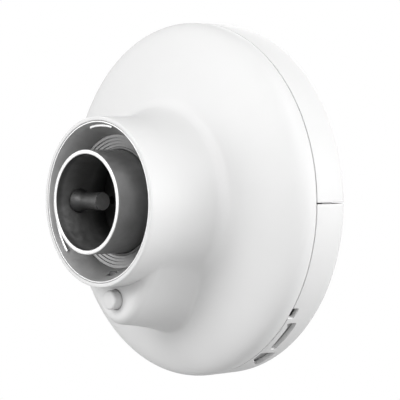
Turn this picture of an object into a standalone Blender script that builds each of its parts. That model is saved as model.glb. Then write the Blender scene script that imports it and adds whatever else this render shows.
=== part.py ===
"""A pole-mount radio head: a white disc housing whose front runs out into a collar round a circular waveguide port.

The port points along -Y. The origin is the centre of the flat mounting face at the back, +Z is up.
Depths are measured from the seam between the front shell and the rear covers: a negative depth is in front of it.
"""

import math

import bmesh
import bpy
from mathutils import Matrix, Vector

MM = 0.001
GAP = 0.3 * MM  # between pieces that touch

# Housing
DISC_R = 114 * MM
WALL = 2.6 * MM
MOUNT_DEPTH = 34 * MM  # mounting face behind the seam
DOME_RISE = 33.5 * MM  # the dome's formula: depth = -DOME_RISE * (1 - r / DISC_R) ** DOME_POWER
DOME_POWER = 0.33
BAND_DEPTH = 20.8 * MM  # straight part of the rear rim
BACK_FILLET_R = 6 * MM
BACK_DEPTH = BAND_DEPTH + BACK_FILLET_R
BACK_WALL = 2.5 * MM

# Neck and collar
COLLAR_R = 53 * MM
NECK_BORE_R = 50.4 * MM
COLLAR_FACE = -77.5 * MM
FILLET_R = 28 * MM
FILLET_DEPTH = -50.8 * MM  # centre of the concave fillet between neck and dome
FILLET_SWEEP = 77  # degrees

# Waveguide port
GUIDE_R = 29.7 * MM
GUIDE_WALL = 2.6 * MM
GUIDE_FACE = -86.4 * MM
GUIDE_BACK = -46 * MM
SHORT_FACE = -48.5 * MM
FUNNEL_FACE = -77.2 * MM
FUNNEL_R = 49.8 * MM
FUNNEL_END = -62 * MM
FUNNEL_END_R = 41.6 * MM
CHOKE_STEP_R = 1.9 * MM
CHOKE_STEP_DEPTH = 0.8 * MM
CHOKE_STEPS = 4
FLANGE_R = 45.5 * MM
FLANGE_FACE = -55.7 * MM
FLANGE_BACK = -53.2 * MM
LUG_DEPTH = -73 * MM
LUG_ANGLES = (90, 210, 330)
FRONT_PROBE_DEPTH = -68.5 * MM
REAR_PROBE_DEPTH = -51.6 * MM

# Release button and its pod under the collar
BUTTON_Z = -61.4 * MM
BUTTON_R = 6.1 * MM
BUTTON_FACE = -68.5 * MM
POD_FACE = -62.4 * MM
POD_R = 14 * MM
POD_BACK_R = 20 * MM
POD_BACK = -20 * MM
POD_WALL = 2.5 * MM
STEM_R = 3 * MM
PIN_DEPTH = -43 * MM
LATCH_DEPTH = -68.5 * MM
BUTTON_TRAVEL = 3 * MM
LATCH_RATIO = 0.66

# Chassis and back
CHASSIS_R = 110.5 * MM
CHASSIS_FACE = 0.6 * MM
CHASSIS_BACK = 3.1 * MM
MOUNT_R = 45 * MM
COVER_HOLE_R = 46 * MM
HUB_R = 42 * MM
HUB_BORE_R = 34 * MM
BOLT_SPACING = 50 * MM
SHELL_SCREW_R = 96 * MM
BOARD_FACE = -8.6 * MM
BOARD_T = 1.6 * MM
PORT_BOARD_FACE = 5 * MM

SEGMENTS = 48
PORT_SEGMENTS = 36
AXIS_Y = "Y"


def clear_scene():
    for old in list(bpy.data.objects):
        bpy.data.objects.remove(old, do_unlink=True)


# ---------------------------------------------------------------- materials

def material(name, colour, roughness, metallic=0.0):
    made = bpy.data.materials.new(name)
    made.use_nodes = True
    shader = made.node_tree.nodes["Principled BSDF"]
    shader.inputs["Base Color"].default_value = (*colour, 1)
    shader.inputs["Roughness"].default_value = roughness
    shader.inputs["Metallic"].default_value = metallic
    made.diffuse_color = (*colour, 1)
    return made


def make_materials():
    return {
        "white": material("white_plastic", (0.86, 0.86, 0.86), 0.38),
        "button": material("button_plastic", (0.84, 0.84, 0.84), 0.42),
        "cast": material("plated_casting", (0.42, 0.42, 0.43), 0.35, 1.0),
        "aluminium": material("cast_aluminium", (0.66, 0.67, 0.68), 0.5, 1.0),
        "steel": material("screw_steel", (0.6, 0.6, 0.6), 0.32, 1.0),
        "brass": material("brass", (0.72, 0.55, 0.28), 0.3, 1.0),
        "rubber": material("seal_rubber", (0.03, 0.03, 0.03), 0.8),
        "ptfe": material("insulator", (0.8, 0.8, 0.78), 0.5),
        "board": material("circuit_board", (0.03, 0.16, 0.07), 0.45),
        "black": material("black_plastic", (0.03, 0.03, 0.03), 0.45),
        "pad": material("thermal_pad", (0.35, 0.42, 0.5), 0.8),
        "clear": material("light_pipe", (0.85, 0.88, 0.9), 0.15),
    }


# ---------------------------------------------------------------- mesh tools

def finish(name, bm, mat, at=(0, 0, 0), smooth=True):
    """A mesh object at a place given as x, depth behind the seam, z."""
    bmesh.ops.remove_doubles(bm, verts=bm.verts, dist=1e-7)
    bmesh.ops.delete(bm, geom=[v for v in bm.verts if not v.link_faces], context="VERTS")
    bmesh.ops.recalc_face_normals(bm, faces=bm.faces)
    mesh = bpy.data.meshes.new(name)
    bm.to_mesh(mesh)
    bm.free()
    if smooth:
        mesh.shade_smooth()
        mesh.set_sharp_from_angle(angle=math.radians(32))
    made = bpy.data.objects.new(name, mesh)
    made.location = (at[0], at[1] - MOUNT_DEPTH, at[2])
    bpy.context.scene.collection.objects.link(made)
    if mat:
        mesh.materials.append(mat)
    else:
        made.hide_render = True
        made.display_type = "WIRE"
    return made


def ring_point(radius, depth, angle, axis):
    """A point of a turned shape: its axis is Y (depth runs back), Z (depth runs up) or X (depth runs right)."""
    c, s = math.cos(angle) * radius, math.sin(angle) * radius
    return {"Y": (c, depth, s), "Z": (c, s, depth), "X": (depth, c, s)}[axis]


def turned(profile, start=0, end=360, segments=SEGMENTS, axis=AXIS_Y):
    """A closed (radius, depth) outline turned about an axis; less than a full turn gets flat end caps."""
    bm = bmesh.new()
    whole = end - start >= 360
    steps = segments if whole else segments + 1
    rings = []
    for i in range(steps):
        angle = math.radians(start + (end - start) * i / segments)
        rings.append([bm.verts.new(ring_point(r, d, angle, axis)) for r, d in profile])
    count = len(profile)
    for j in range(count):
        k = (j + 1) % count
        near_axis, far_axis = profile[j][0] < 1e-9, profile[k][0] < 1e-9
        if near_axis and far_axis:
            continue
        if (near_axis or far_axis) and whole and profile[j][1] == profile[k][1]:
            bm.faces.new([ring[k if near_axis else j] for ring in rings])
            continue
        for i in range(segments):
            here, there = rings[i], rings[(i + 1) % steps]
            if near_axis:
                bm.faces.new((here[j], here[k], there[k]))
            elif far_axis:
                bm.faces.new((here[j], here[k], there[j]))
            else:
                bm.faces.new((here[j], here[k], there[k], there[j]))
    if not whole:
        bm.faces.new(rings[0])
        bm.faces.new(rings[-1])
    return bm


def rod(radius, low, high, axis=AXIS_Y, segments=20, bore=0.0):
    return turned([(bore, low), (radius, low), (radius, high), (bore, high)], segments=segments, axis=axis)


def box(x, depth, z):
    """A box from its low and high X, depth and Z."""
    bm = bmesh.new()
    bmesh.ops.create_cube(bm, size=1)
    size = Vector((x[1] - x[0], depth[1] - depth[0], z[1] - z[0]))
    centre = Vector((x[1] + x[0], depth[1] + depth[0], z[1] + z[0])) / 2
    bmesh.ops.transform(bm, matrix=Matrix.Translation(centre) @ Matrix.Diagonal((*size, 1)), verts=bm.verts)
    return bm


def prism(outline, low, high, axis="X"):
    """A flat outline pushed through: (depth, z) points along X, or (x, z) points along Y."""
    bm = bmesh.new()
    place = {"X": lambda a, b, t: (t, a, b), "Y": lambda a, b, t: (a, t, b), "Z": lambda a, b, t: (a, b, t)}[axis]
    ends = [[bm.verts.new(place(a, b, t)) for a, b in outline] for t in (low, high)]
    for j in range(len(outline)):
        k = (j + 1) % len(outline)
        bm.faces.new((ends[0][j], ends[0][k], ends[1][k], ends[1][j]))
    bm.faces.new(ends[0])
    bm.faces.new(ends[1])
    return bm


def joined(*shapes):
    """Several separate bodies in one mesh, used as one cutter."""
    whole = bmesh.new()
    for shape in shapes:
        mesh = bpy.data.meshes.new("part")
        bmesh.ops.recalc_face_normals(shape, faces=shape.faces)
        shape.to_mesh(mesh)
        shape.free()
        whole.from_mesh(mesh)
        bpy.data.meshes.remove(mesh)
    return whole


def boolean(target, operation, shape, label):
    """Adds a Boolean whose other operand is a hidden helper in the same place."""
    helper = finish(f"{target.name}_{label}", shape, None, smooth=False)
    helper.location = target.location
    change = target.modifiers.new(label, "BOOLEAN")
    change.operation = operation
    change.object = helper
    return helper


def arc(centre, radius, start, end, steps):
    """Points of an arc in a (radius, depth) outline; 0 degrees points away from the axis, 90 to the back."""
    points = []
    for i in range(steps + 1):
        angle = math.radians(start + (end - start) * i / steps)
        points.append((centre[0] + radius * math.cos(angle), centre[1] + radius * math.sin(angle)))
    return points


def tube_along(name, points, radius, mat):
    """A cable on a smooth path through a few points, in place."""
    curve = bpy.data.curves.new(name, "CURVE")
    curve.dimensions = "3D"
    curve.bevel_depth = radius
    curve.bevel_resolution = 1
    curve.use_fill_caps = True
    path = smooth_path([Vector(p) for p in points], 5)
    spline = curve.splines.new("POLY")
    spline.points.add(len(path) - 1)
    for point, co in zip(spline.points, path):
        point.co = (*co, 1)
    curve.materials.append(mat)
    made = bpy.data.objects.new(name, curve)
    made.location = (0, -MOUNT_DEPTH, 0)
    bpy.context.scene.collection.objects.link(made)
    return made


def smooth_path(points, steps):
    """Catmull-Rom points through the given ones."""
    ends = [points[0] * 2 - points[1], *points, points[-1] * 2 - points[-2]]
    path = []
    for a, b, c, d in zip(ends, ends[1:], ends[2:], ends[3:]):
        for i in range(steps):
            t = i / steps
            path.append(0.5 * (2 * b + (c - a) * t + (2 * a - 5 * b + 4 * c - d) * t**2
                               + (3 * b - a - 3 * c + d) * t**3))
    return [*path, points[-1]]


def coil(start, length, radius, wire, turns, axis):
    """A helical spring as a closed tube; its axis is Y or Z and it begins at start."""
    bm = bmesh.new()
    per_turn, sides = 8, 4
    count = turns * per_turn + 1
    rings = []
    for i in range(count):
        t = i / (count - 1)
        angle = 2 * math.pi * turns * t
        out = Vector((math.cos(angle), 0, math.sin(angle)))
        along = Vector((0, 1, 0))
        if axis == "Z":
            out, along = Vector((out.x, out.z, 0)), Vector((0, 0, 1))
        middle = Vector(start) + out * radius + along * (wire + (length - 2 * wire) * t)
        rings.append([bm.verts.new(middle + (out * math.cos(a) + along * math.sin(a)) * wire)
                      for a in (2 * math.pi * k / sides for k in range(sides))])
    for here, there in zip(rings, rings[1:]):
        for k in range(sides):
            n = (k + 1) % sides
            bm.faces.new((here[k], here[n], there[n], there[k]))
    bm.faces.new(rings[0])
    bm.faces.new(rings[-1])
    return bm


# ---------------------------------------------------------------- outlines

def dome_depth(radius, inset=0.0):
    rise = DOME_RISE - 1.12 * inset
    return -rise * (1 - radius / (DISC_R - inset)) ** DOME_POWER


def shell_outline(inset, steps):
    """The shell from the rim to the neck, as (radius, depth) points, moved inwards by inset."""
    blend_r = COLLAR_R + FILLET_R
    dome_end = blend_r - (FILLET_R + inset) * math.cos(math.radians(FILLET_SWEEP))
    edge = DISC_R - inset
    points = [(edge, -GAP)]
    for i in range(1, steps + 1):
        share = (1 - i / (steps + 1)) ** 3.03
        depth_share = 1 - share ** 0.33
        radius = edge - (edge - dome_end) * depth_share ** 3.03
        points.append((radius, dome_depth(radius, inset)))
    for i in range(steps + 1):
        angle = math.radians(FILLET_SWEEP * (1 - i / steps))
        reach = FILLET_R + inset
        points.append((blend_r - reach * math.cos(angle), FILLET_DEPTH + reach * math.sin(angle)))
    return points


def pod_outline(wall, face, back):
    """The pod's cone: it widens from its face to its foot inside the dome."""
    slope = (POD_BACK_R - POD_R) / (POD_BACK - POD_FACE)
    front_r = POD_R - wall + slope * (face - POD_FACE)
    back_r = POD_R - wall + slope * (back - POD_FACE)
    return front_r, back_r


# ---------------------------------------------------------------- front shell

def make_front_shell(mats):
    outer = shell_outline(0, 5)
    body = [(0, outer[0][1]), *outer, (COLLAR_R, COLLAR_FACE + 0.8 * MM), (COLLAR_R - 0.8 * MM, COLLAR_FACE),
            (0, COLLAR_FACE)]
    shell = finish("front_shell", turned(body), mats["white"])
    front_r, back_r = pod_outline(0, POD_FACE, POD_BACK)
    pod = turned([(0, POD_FACE), (front_r - 2 * MM, POD_FACE), (front_r, POD_FACE + 2 * MM),
                  (back_r, POD_BACK), (0, POD_BACK)], segments=28)
    bmesh.ops.translate(pod, verts=pod.verts, vec=(0, 0, BUTTON_Z))
    boolean(shell, "UNION", pod, "pod")
    inner = shell_outline(WALL, 4)
    void = [(0, inner[0][1] + 2 * MM), (inner[0][0], inner[0][1] + 2 * MM), *inner,
            (NECK_BORE_R, COLLAR_FACE - MM), (0, COLLAR_FACE - MM)]
    boolean(shell, "DIFFERENCE", turned(void), "void")
    inside_r, foot_r = pod_outline(POD_WALL, POD_FACE + POD_WALL, -16 * MM)
    pocket = turned([(0, POD_FACE + POD_WALL), (inside_r, POD_FACE + POD_WALL), (foot_r, -16 * MM), (0, -16 * MM)],
                    segments=28)
    bmesh.ops.translate(pocket, verts=pocket.verts, vec=(0, 0, BUTTON_Z))
    cutter = boolean(shell, "DIFFERENCE", pocket, "pod_pocket")
    neck = [(0, -90 * MM), (COLLAR_R, -90 * MM), (COLLAR_R, FILLET_DEPTH), (54.3 * MM, -43 * MM), (57.5 * MM, -35 * MM),
            (66 * MM, -27 * MM), (66 * MM, -10 * MM), (0, -10 * MM)]
    boolean(cutter, "DIFFERENCE", turned(neck), "neck")
    bore = rod(BUTTON_R + 0.35 * MM, POD_FACE - MM, POD_FACE + POD_WALL + MM, segments=28)
    bmesh.ops.translate(bore, verts=bore.verts, vec=(0, 0, BUTTON_Z))
    boolean(shell, "DIFFERENCE", bore, "button_bore")
    slot = box((5.8 * MM, 8.4 * MM), (-46.8 * MM, -39.2 * MM), (-57 * MM, -47 * MM))
    boolean(shell, "DIFFERENCE", slot, "latch_slot")
    posts, holes = [], []
    for x, z in shell_screw_places():
        post, hole = rod(4 * MM, -15.6 * MM, -0.7 * MM, segments=10), rod(1.8 * MM, -9 * MM, MM, segments=8)
        for shape, group in ((post, posts), (hole, holes)):
            bmesh.ops.translate(shape, verts=shape.verts, vec=(x, 0, z))
            group.append(shape)
    boolean(shell, "UNION", joined(*posts), "posts")
    boolean(shell, "DIFFERENCE", joined(*holes), "post_holes")
    return shell


def shell_screw_places():
    angles = [math.radians(a) for a in (30, 90, 150, 210, 270, 330)]
    return [(SHELL_SCREW_R * math.cos(a), SHELL_SCREW_R * math.sin(a)) for a in angles]


# ---------------------------------------------------------------- waveguide port

def funnel_radius(depth):
    share = (depth - FUNNEL_FACE) / (FUNNEL_END - FUNNEL_FACE)
    return FUNNEL_R + (FUNNEL_END_R - FUNNEL_R) * share


def make_bayonet_ring(mats):
    wall, skirt_r, skirt_end = 1.8 * MM, NECK_BORE_R - GAP, -71.5 * MM
    outline = [(FUNNEL_R, FUNNEL_FACE), (skirt_r, FUNNEL_FACE), (skirt_r, skirt_end),
               (funnel_radius(skirt_end) + wall, skirt_end), (FUNNEL_END_R + wall, FUNNEL_END),
               (FUNNEL_END_R, FUNNEL_END)]
    ring = finish("bayonet_ring", turned(outline), mats["cast"])
    lugs = []
    for angle in LUG_ANGLES:
        lug = [(45.3 * MM, LUG_DEPTH - 1.2 * MM), (49 * MM, LUG_DEPTH - 1.2 * MM),
               (48.2 * MM, LUG_DEPTH + 1.2 * MM), (45.3 * MM, LUG_DEPTH + 1.2 * MM)]
        lugs.append(turned(lug, angle - 13, angle + 13, 8))
    boolean(ring, "UNION", joined(*lugs), "lugs")
    window = box((0.6 * MM, 7.4 * MM), (LATCH_DEPTH - 2.3 * MM, LATCH_DEPTH + 2.3 * MM), (-52 * MM, -40 * MM))
    boolean(ring, "DIFFERENCE", window, "latch_window")
    return ring


def make_choke_ring(mats):
    face, groove_r = FUNNEL_END + GAP, 34.2 * MM
    steps = []
    for i in range(CHOKE_STEPS):
        radius, depth = FUNNEL_END_R - i * CHOKE_STEP_R, face + i * CHOKE_STEP_DEPTH
        steps += [(radius, depth), (radius - CHOKE_STEP_R, depth)]
    bore = GUIDE_R + GUIDE_WALL + GAP
    steps[-1] = (groove_r, steps[-1][1])
    outline = [(FLANGE_R, face), *steps[1:], (groove_r, -58.2 * MM), (bore, -58.2 * MM),
               (bore, FLANGE_FACE - GAP), (FLANGE_R, FLANGE_FACE - GAP)]
    return finish("choke_ring", turned(outline, segments=PORT_SEGMENTS), mats["cast"])


def make_port_seal(mats):
    outline = arc((33.4 * MM, -59.05 * MM), 0.75 * MM, 0, 300, 5)
    return finish("port_seal", turned(outline, segments=PORT_SEGMENTS), mats["rubber"])


def make_waveguide(mats):
    outer = GUIDE_R + GUIDE_WALL
    outline = [(GUIDE_R, GUIDE_FACE + 0.4 * MM), (GUIDE_R + 0.4 * MM, GUIDE_FACE), (outer - 0.4 * MM, GUIDE_FACE),
               (outer, GUIDE_FACE + 0.4 * MM), (outer, FLANGE_FACE), (FLANGE_R, FLANGE_FACE),
               (FLANGE_R, FLANGE_BACK), (outer, FLANGE_BACK), (outer, GUIDE_BACK), (GUIDE_R, GUIDE_BACK)]
    guide = finish("waveguide_tube", turned(outline, segments=PORT_SEGMENTS), mats["cast"])
    channel = box((-34 * MM, -31 * MM), (-72 * MM, -49.5 * MM), (-2.8 * MM, 2.8 * MM))
    boolean(guide, "DIFFERENCE", channel, "feed_channel")
    side = rod(3.3 * MM, -34 * MM, -28 * MM, "X", 16)
    bmesh.ops.translate(side, verts=side.verts, vec=(0, FRONT_PROBE_DEPTH, 0))
    top = rod(3.3 * MM, 28 * MM, 34 * MM, "Z", 16)
    bmesh.ops.translate(top, verts=top.verts, vec=(0, REAR_PROBE_DEPTH + 0.6 * MM, 0))
    relief = box((-3.3 * MM, 3.3 * MM), (REAR_PROBE_DEPTH + 0.6 * MM, -45 * MM), (28 * MM, 34 * MM))
    boolean(guide, "DIFFERENCE", side, "front_probe_hole")
    boolean(guide, "DIFFERENCE", top, "rear_probe_hole")
    boolean(guide, "DIFFERENCE", relief, "rear_probe_relief")
    return guide


def make_backshort(mats):
    plug_r = GUIDE_R - GAP
    outline = [(0, SHORT_FACE), (plug_r, SHORT_FACE), (plug_r, GUIDE_BACK + GAP), (35 * MM, GUIDE_BACK + GAP),
               (35 * MM, GUIDE_BACK + 2.8 * MM), (0, GUIDE_BACK + 2.8 * MM)]
    plate = finish("backshort_plate", turned(outline, segments=PORT_SEGMENTS), mats["cast"])
    hole = rod(2.8 * MM, SHORT_FACE - MM, GUIDE_BACK + 4 * MM, segments=16)
    bmesh.ops.translate(hole, verts=hole.verts, vec=(-21 * MM, 0, 0))
    boolean(plate, "DIFFERENCE", hole, "sample_hole")
    notch = box((-3.6 * MM, 3.6 * MM), (SHORT_FACE - MM, GUIDE_BACK + 0.1 * MM), (26 * MM, 36 * MM))
    boolean(plate, "DIFFERENCE", notch, "probe_notch")
    return plate


def make_probes(mats):
    """Two crossed feed probes. Each is a pin through an insulated hole that carries a thicker stub inside."""
    pin_r, stem_r = 1.4 * MM, 4.4 * MM
    stub = [(0, -31 * MM), (pin_r, -31 * MM), (pin_r, -29 * MM), (stem_r, -29 * MM), (stem_r, -15 * MM),
            (6.1 * MM, -9.4 * MM), (6.1 * MM, -5.9 * MM), (5.4 * MM, -5.2 * MM), (0, -5.2 * MM)]
    finish("front_probe", turned(stub, segments=24, axis="X"), mats["cast"], (0, FRONT_PROBE_DEPTH, 0))
    bush = rod(3 * MM, -31 * MM, -29.95 * MM, "X", 16, bore=1.7 * MM)
    finish("front_probe_bush", bush, mats["ptfe"], (0, FRONT_PROBE_DEPTH, 0))
    strip = box((-32.2 * MM, -31.3 * MM), (-71.7 * MM, -50 * MM), (-2.5 * MM, 2.5 * MM))
    finish("feed_strip", strip, mats["brass"])
    rear = [(0, 12 * MM), (1.6 * MM, 12 * MM), (1.6 * MM, 28.6 * MM), (0.9 * MM, 28.6 * MM), (0.9 * MM, 34 * MM),
            (0, 34 * MM)]
    finish("rear_probe", turned(rear, segments=16, axis="Z"), mats["cast"], (0, REAR_PROBE_DEPTH + 0.6 * MM, 0))
    bush = rod(3 * MM, 29.9 * MM, 33 * MM, "Z", 16, bore=1.2 * MM)
    finish("rear_probe_bush", bush, mats["ptfe"], (0, REAR_PROBE_DEPTH + 0.6 * MM, 0))


def make_feed_cables(mats):
    side = [(-33.8, -51, 0), (-37, -48, 0), (-40, -38, 0), (-40, -22, 0), (-40, -9, 0)]
    top = [(0, -51, 34.6), (0, -49.5, 38), (0, -42, 40), (0, -26, 40), (0, -9, 40)]
    for name, route in (("front_feed_cable", side), ("rear_feed_cable", top)):
        tube_along(name, [(x * MM, d * MM, z * MM) for x, d, z in route], 0.9 * MM, mats["black"])


# ---------------------------------------------------------------- release button

def make_release_button(mats):
    flange_face = POD_FACE + POD_WALL + GAP
    outline = [(0, BUTTON_FACE), *arc((BUTTON_R - 2.4 * MM, BUTTON_FACE + 2.4 * MM), 2.4 * MM, -90, 0, 4),
               (BUTTON_R, flange_face), (7.4 * MM, flange_face), (7.4 * MM, flange_face + 1.5 * MM),
               (STEM_R, flange_face + 1.5 * MM), (STEM_R, -38 * MM), (0, -38 * MM)]
    finish("release_button", turned(outline, segments=28), mats["button"], (0, 0, BUTTON_Z))
    button = bpy.data.objects["release_button"]
    hole = rod(1.3 * MM, -6 * MM, 6 * MM, "X", 12)
    bmesh.ops.translate(hole, verts=hole.verts, vec=(0, PIN_DEPTH, 0))
    boolean(button, "DIFFERENCE", hole, "pin_hole")
    finish("cross_pin", rod(MM, -4 * MM, 8.6 * MM, "X", 12), mats["steel"], (0, PIN_DEPTH, BUTTON_Z))
    spring = coil((0, -57.8 * MM, 0), 8.6 * MM, 4.4 * MM, 0.4 * MM, 5, "Y")
    finish("button_spring", spring, mats["steel"], (0, 0, BUTTON_Z))
    seat = rod(12 * MM, -48.8 * MM, -46.9 * MM, segments=28, bore=STEM_R + 0.35 * MM)
    guide = finish("stem_guide", seat, mats["black"], (0, 0, BUTTON_Z))
    neck_clear = rod(NECK_BORE_R + WALL + 1.3 * MM, -60 * MM, -40 * MM, segments=SEGMENTS)
    bmesh.ops.translate(neck_clear, verts=neck_clear.verts, vec=(0, 0, -BUTTON_Z))
    boolean(guide, "DIFFERENCE", neck_clear, "neck_clearance")


def make_latch(mats):
    """The tooth that locks the antenna's ring: an arm over the pod, and a leg whose slanted slot the pin drives."""
    tooth = prism([(-70.5 * MM, -47.6 * MM), (-70.5 * MM, -44.6 * MM), (-69.6 * MM, -43.3 * MM),
                   (-66.6 * MM, -43.3 * MM), (-66.6 * MM, -46 * MM), (-40 * MM, -46 * MM), (-40 * MM, -47.6 * MM)],
                  1 * MM, 7 * MM)
    latch = finish("latch_slider", tooth, mats["white"])
    boolean(latch, "UNION", box((6.2 * MM, 8 * MM), (-46.2 * MM, -39.8 * MM), (-66 * MM, -46.05 * MM)), "leg")
    run, width = BUTTON_TRAVEL, 1.3 * MM
    slope = math.atan(LATCH_RATIO)
    back = Vector((run, run * LATCH_RATIO))
    slot = [(PIN_DEPTH + width * math.cos(a), BUTTON_Z + width * math.sin(a))
            for a in (slope + math.radians(90 + 30 * i) for i in range(7))]
    slot += [(PIN_DEPTH + back.x + width * math.cos(a), BUTTON_Z + back.y + width * math.sin(a))
             for a in (slope + math.radians(-90 + 30 * i) for i in range(7))]
    boolean(latch, "DIFFERENCE", prism(slot, 5 * MM, 9 * MM), "drive_slot")
    spring = coil((0, 0, 0), 6.4 * MM, 1.7 * MM, 0.3 * MM, 4, "Z")
    finish("latch_spring", spring, mats["steel"], (6.3 * MM, PIN_DEPTH, -72.7 * MM))


# ---------------------------------------------------------------- chassis and boards

def make_chassis(mats):
    rim_r = 108.6 * MM
    outline = [(0, CHASSIS_FACE), (rim_r, CHASSIS_FACE), (rim_r, -3 * MM), (CHASSIS_R, -3 * MM),
               (CHASSIS_R, CHASSIS_BACK), (HUB_R, CHASSIS_BACK), (HUB_R, BACK_DEPTH - GAP),
               (HUB_BORE_R, BACK_DEPTH - GAP), (HUB_BORE_R, CHASSIS_BACK), (0, CHASSIS_BACK)]
    chassis = finish("rear_chassis", turned(outline), mats["aluminium"])
    posts = [place(rod(3.2 * MM, BOARD_FACE + BOARD_T + GAP, 2 * MM, segments=10), x, z) for x, z in board_screws()]
    posts += [place(rod(3.4 * MM, 2 * MM, PORT_BOARD_FACE - GAP, segments=10), x, z) for x, z in port_board_screws()]
    posts += [place(rod(5 * MM, 2 * MM, BACK_DEPTH - BACK_WALL - GAP, segments=14), x, z) for x, z in cover_screws()]
    boolean(chassis, "UNION", joined(*posts), "posts")
    holes = [place(rod(1.9 * MM, -1 * MM, 5 * MM, segments=10), x, z) for x, z in shell_screw_places()]
    holes += [place(rod(1.5 * MM, -8 * MM, -0.5 * MM, segments=8), x, z) for x, z in board_screws()]
    holes += [place(rod(1.5 * MM, 3.5 * MM, 6 * MM, segments=8), x, z) for x, z in port_board_screws()]
    holes += [place(rod(1.8 * MM, 10 * MM, 26 * MM, segments=10), x, z) for x, z in cover_screws()]
    holes += [place(rod(3.3 * MM, 14 * MM, 28 * MM, segments=12), x, z) for x, z in mount_bolts()]
    holes.append(box((-14 * MM, 14 * MM), (-1 * MM, 4 * MM), (-55 * MM, -48 * MM)))
    holes.append(place(rod(4.4 * MM, -1 * MM, 4 * MM, segments=16), -60 * MM, -52 * MM))
    holes.append(place(rod(2.1 * MM, -1 * MM, 4 * MM, segments=12), 62 * MM, -52 * MM))
    boolean(chassis, "DIFFERENCE", joined(*holes), "holes")


def place(shape, x, z):
    bmesh.ops.translate(shape, verts=shape.verts, vec=(x, 0, z))
    return shape


def corners(half_x, half_z, centre_z=0.0):
    return [(sx * half_x, centre_z + sz * half_z) for sx in (-1, 1) for sz in (-1, 1)]


def board_screws():
    return corners(54 * MM, 54 * MM)


def port_board_screws():
    return [(-32 * MM, -66 * MM), (32 * MM, -66 * MM)]


def cover_screws():
    return [(-62 * MM, 62 * MM), (62 * MM, 62 * MM)]


def mount_bolts():
    return corners(27 * MM, 27 * MM)


def make_gasket(mats):
    outline = [(108.7 * MM, -3.3 * MM), (108.7 * MM, -4.8 * MM), (110.4 * MM, -4.8 * MM), (110.4 * MM, -3.3 * MM)]
    finish("perimeter_gasket", turned(outline), mats["rubber"])


def make_boards(mats):
    half = 60 * MM
    cut = 12 * MM
    outline = [(-half, -half + cut), (-half + cut, -half), (half - cut, -half), (half, -half + cut),
               (half, half - cut), (half - cut, half), (-half + cut, half), (-half, half - cut)]
    board = finish("main_board", prism(outline, BOARD_FACE, BOARD_FACE + BOARD_T, "Y"), mats["board"])
    holes = joined(*[place(rod(1.7 * MM, BOARD_FACE - MM, BOARD_FACE + 3 * MM, segments=10), x, z)
                     for x, z in board_screws()])
    boolean(board, "DIFFERENCE", holes, "holes")
    front = BOARD_FACE - GAP
    for name, x, z, size in (("radio_shield", -22, 24, 40), ("processor_shield", 27, -20, 34)):
        can = box(((x - size / 2) * MM, (x + size / 2) * MM), (front - 5 * MM, front),
                  ((z - size / 2) * MM, (z + size / 2) * MM))
        shield = finish(name, can, mats["steel"], smooth=False)
        inside = box(((x - size / 2 + 0.6) * MM, (x + size / 2 - 0.6) * MM), (front - 4.4 * MM, front + MM),
                     ((z - size / 2 + 0.6) * MM, (z + size / 2 - 0.6) * MM))
        boolean(shield, "DIFFERENCE", inside, "inside")
    rear = BOARD_FACE + BOARD_T + GAP
    finish("radio_chip", box((-9 * MM, 9 * MM), (rear, rear + 1.4 * MM), (11 * MM, 29 * MM)), mats["black"],
           smooth=False)
    finish("thermal_pad", box((-8.5 * MM, 8.5 * MM), (rear + 1.7 * MM, CHASSIS_FACE - GAP), (11.5 * MM, 28.5 * MM)),
           mats["pad"], smooth=False)
    finish("board_header", box((-12 * MM, 12 * MM), (rear, PORT_BOARD_FACE - GAP), (-53.5 * MM, -49.5 * MM)),
           mats["black"], smooth=False)
    low = prism([(-37 * MM, -72 * MM), (37 * MM, -72 * MM), (37 * MM, -58 * MM), (24 * MM, -46 * MM),
                 (-24 * MM, -46 * MM), (-37 * MM, -58 * MM)], PORT_BOARD_FACE, PORT_BOARD_FACE + BOARD_T, "Y")
    port_board = finish("port_board", low, mats["board"])
    holes = joined(*[place(rod(1.7 * MM, 4 * MM, 8 * MM, segments=10), x, z) for x, z in port_board_screws()])
    boolean(port_board, "DIFFERENCE", holes, "holes")


def make_ports(mats):
    face = PORT_BOARD_FACE + BOARD_T + GAP
    jack = finish("ethernet_jack", box((-8.2 * MM, 8.2 * MM), (face, face + 13.4 * MM), (-71.5 * MM, -50.5 * MM)),
                  mats["steel"], smooth=False)
    mouth = box((-5.9 * MM, 5.9 * MM), (face + 2.6 * MM, face + 10.4 * MM), (-73 * MM, -57 * MM))
    boolean(jack, "DIFFERENCE", mouth, "mouth")
    keyway = box((-3.1 * MM, 3.1 * MM), (face + 9 * MM, face + 12.2 * MM), (-73 * MM, -57 * MM))
    boolean(jack, "DIFFERENCE", keyway, "keyway")
    switch = box((17 * MM, 23 * MM), (face, face + 3.8 * MM), (-66 * MM, -60 * MM))
    housing = finish("reset_switch", switch, mats["black"], smooth=False)
    well = place(rod(2 * MM, face + 1 * MM, face + 6 * MM, segments=14), 20 * MM, -63 * MM)
    boolean(housing, "DIFFERENCE", well, "well")
    finish("reset_button", rod(1.7 * MM, face + 2 * MM, face + 6 * MM, segments=14), mats["button"],
           (20 * MM, 0, -63 * MM))
    finish("status_light", box((-24 * MM, -18 * MM), (face, face + 1.2 * MM), (-64 * MM, -61 * MM)), mats["clear"],
           smooth=False)


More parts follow.
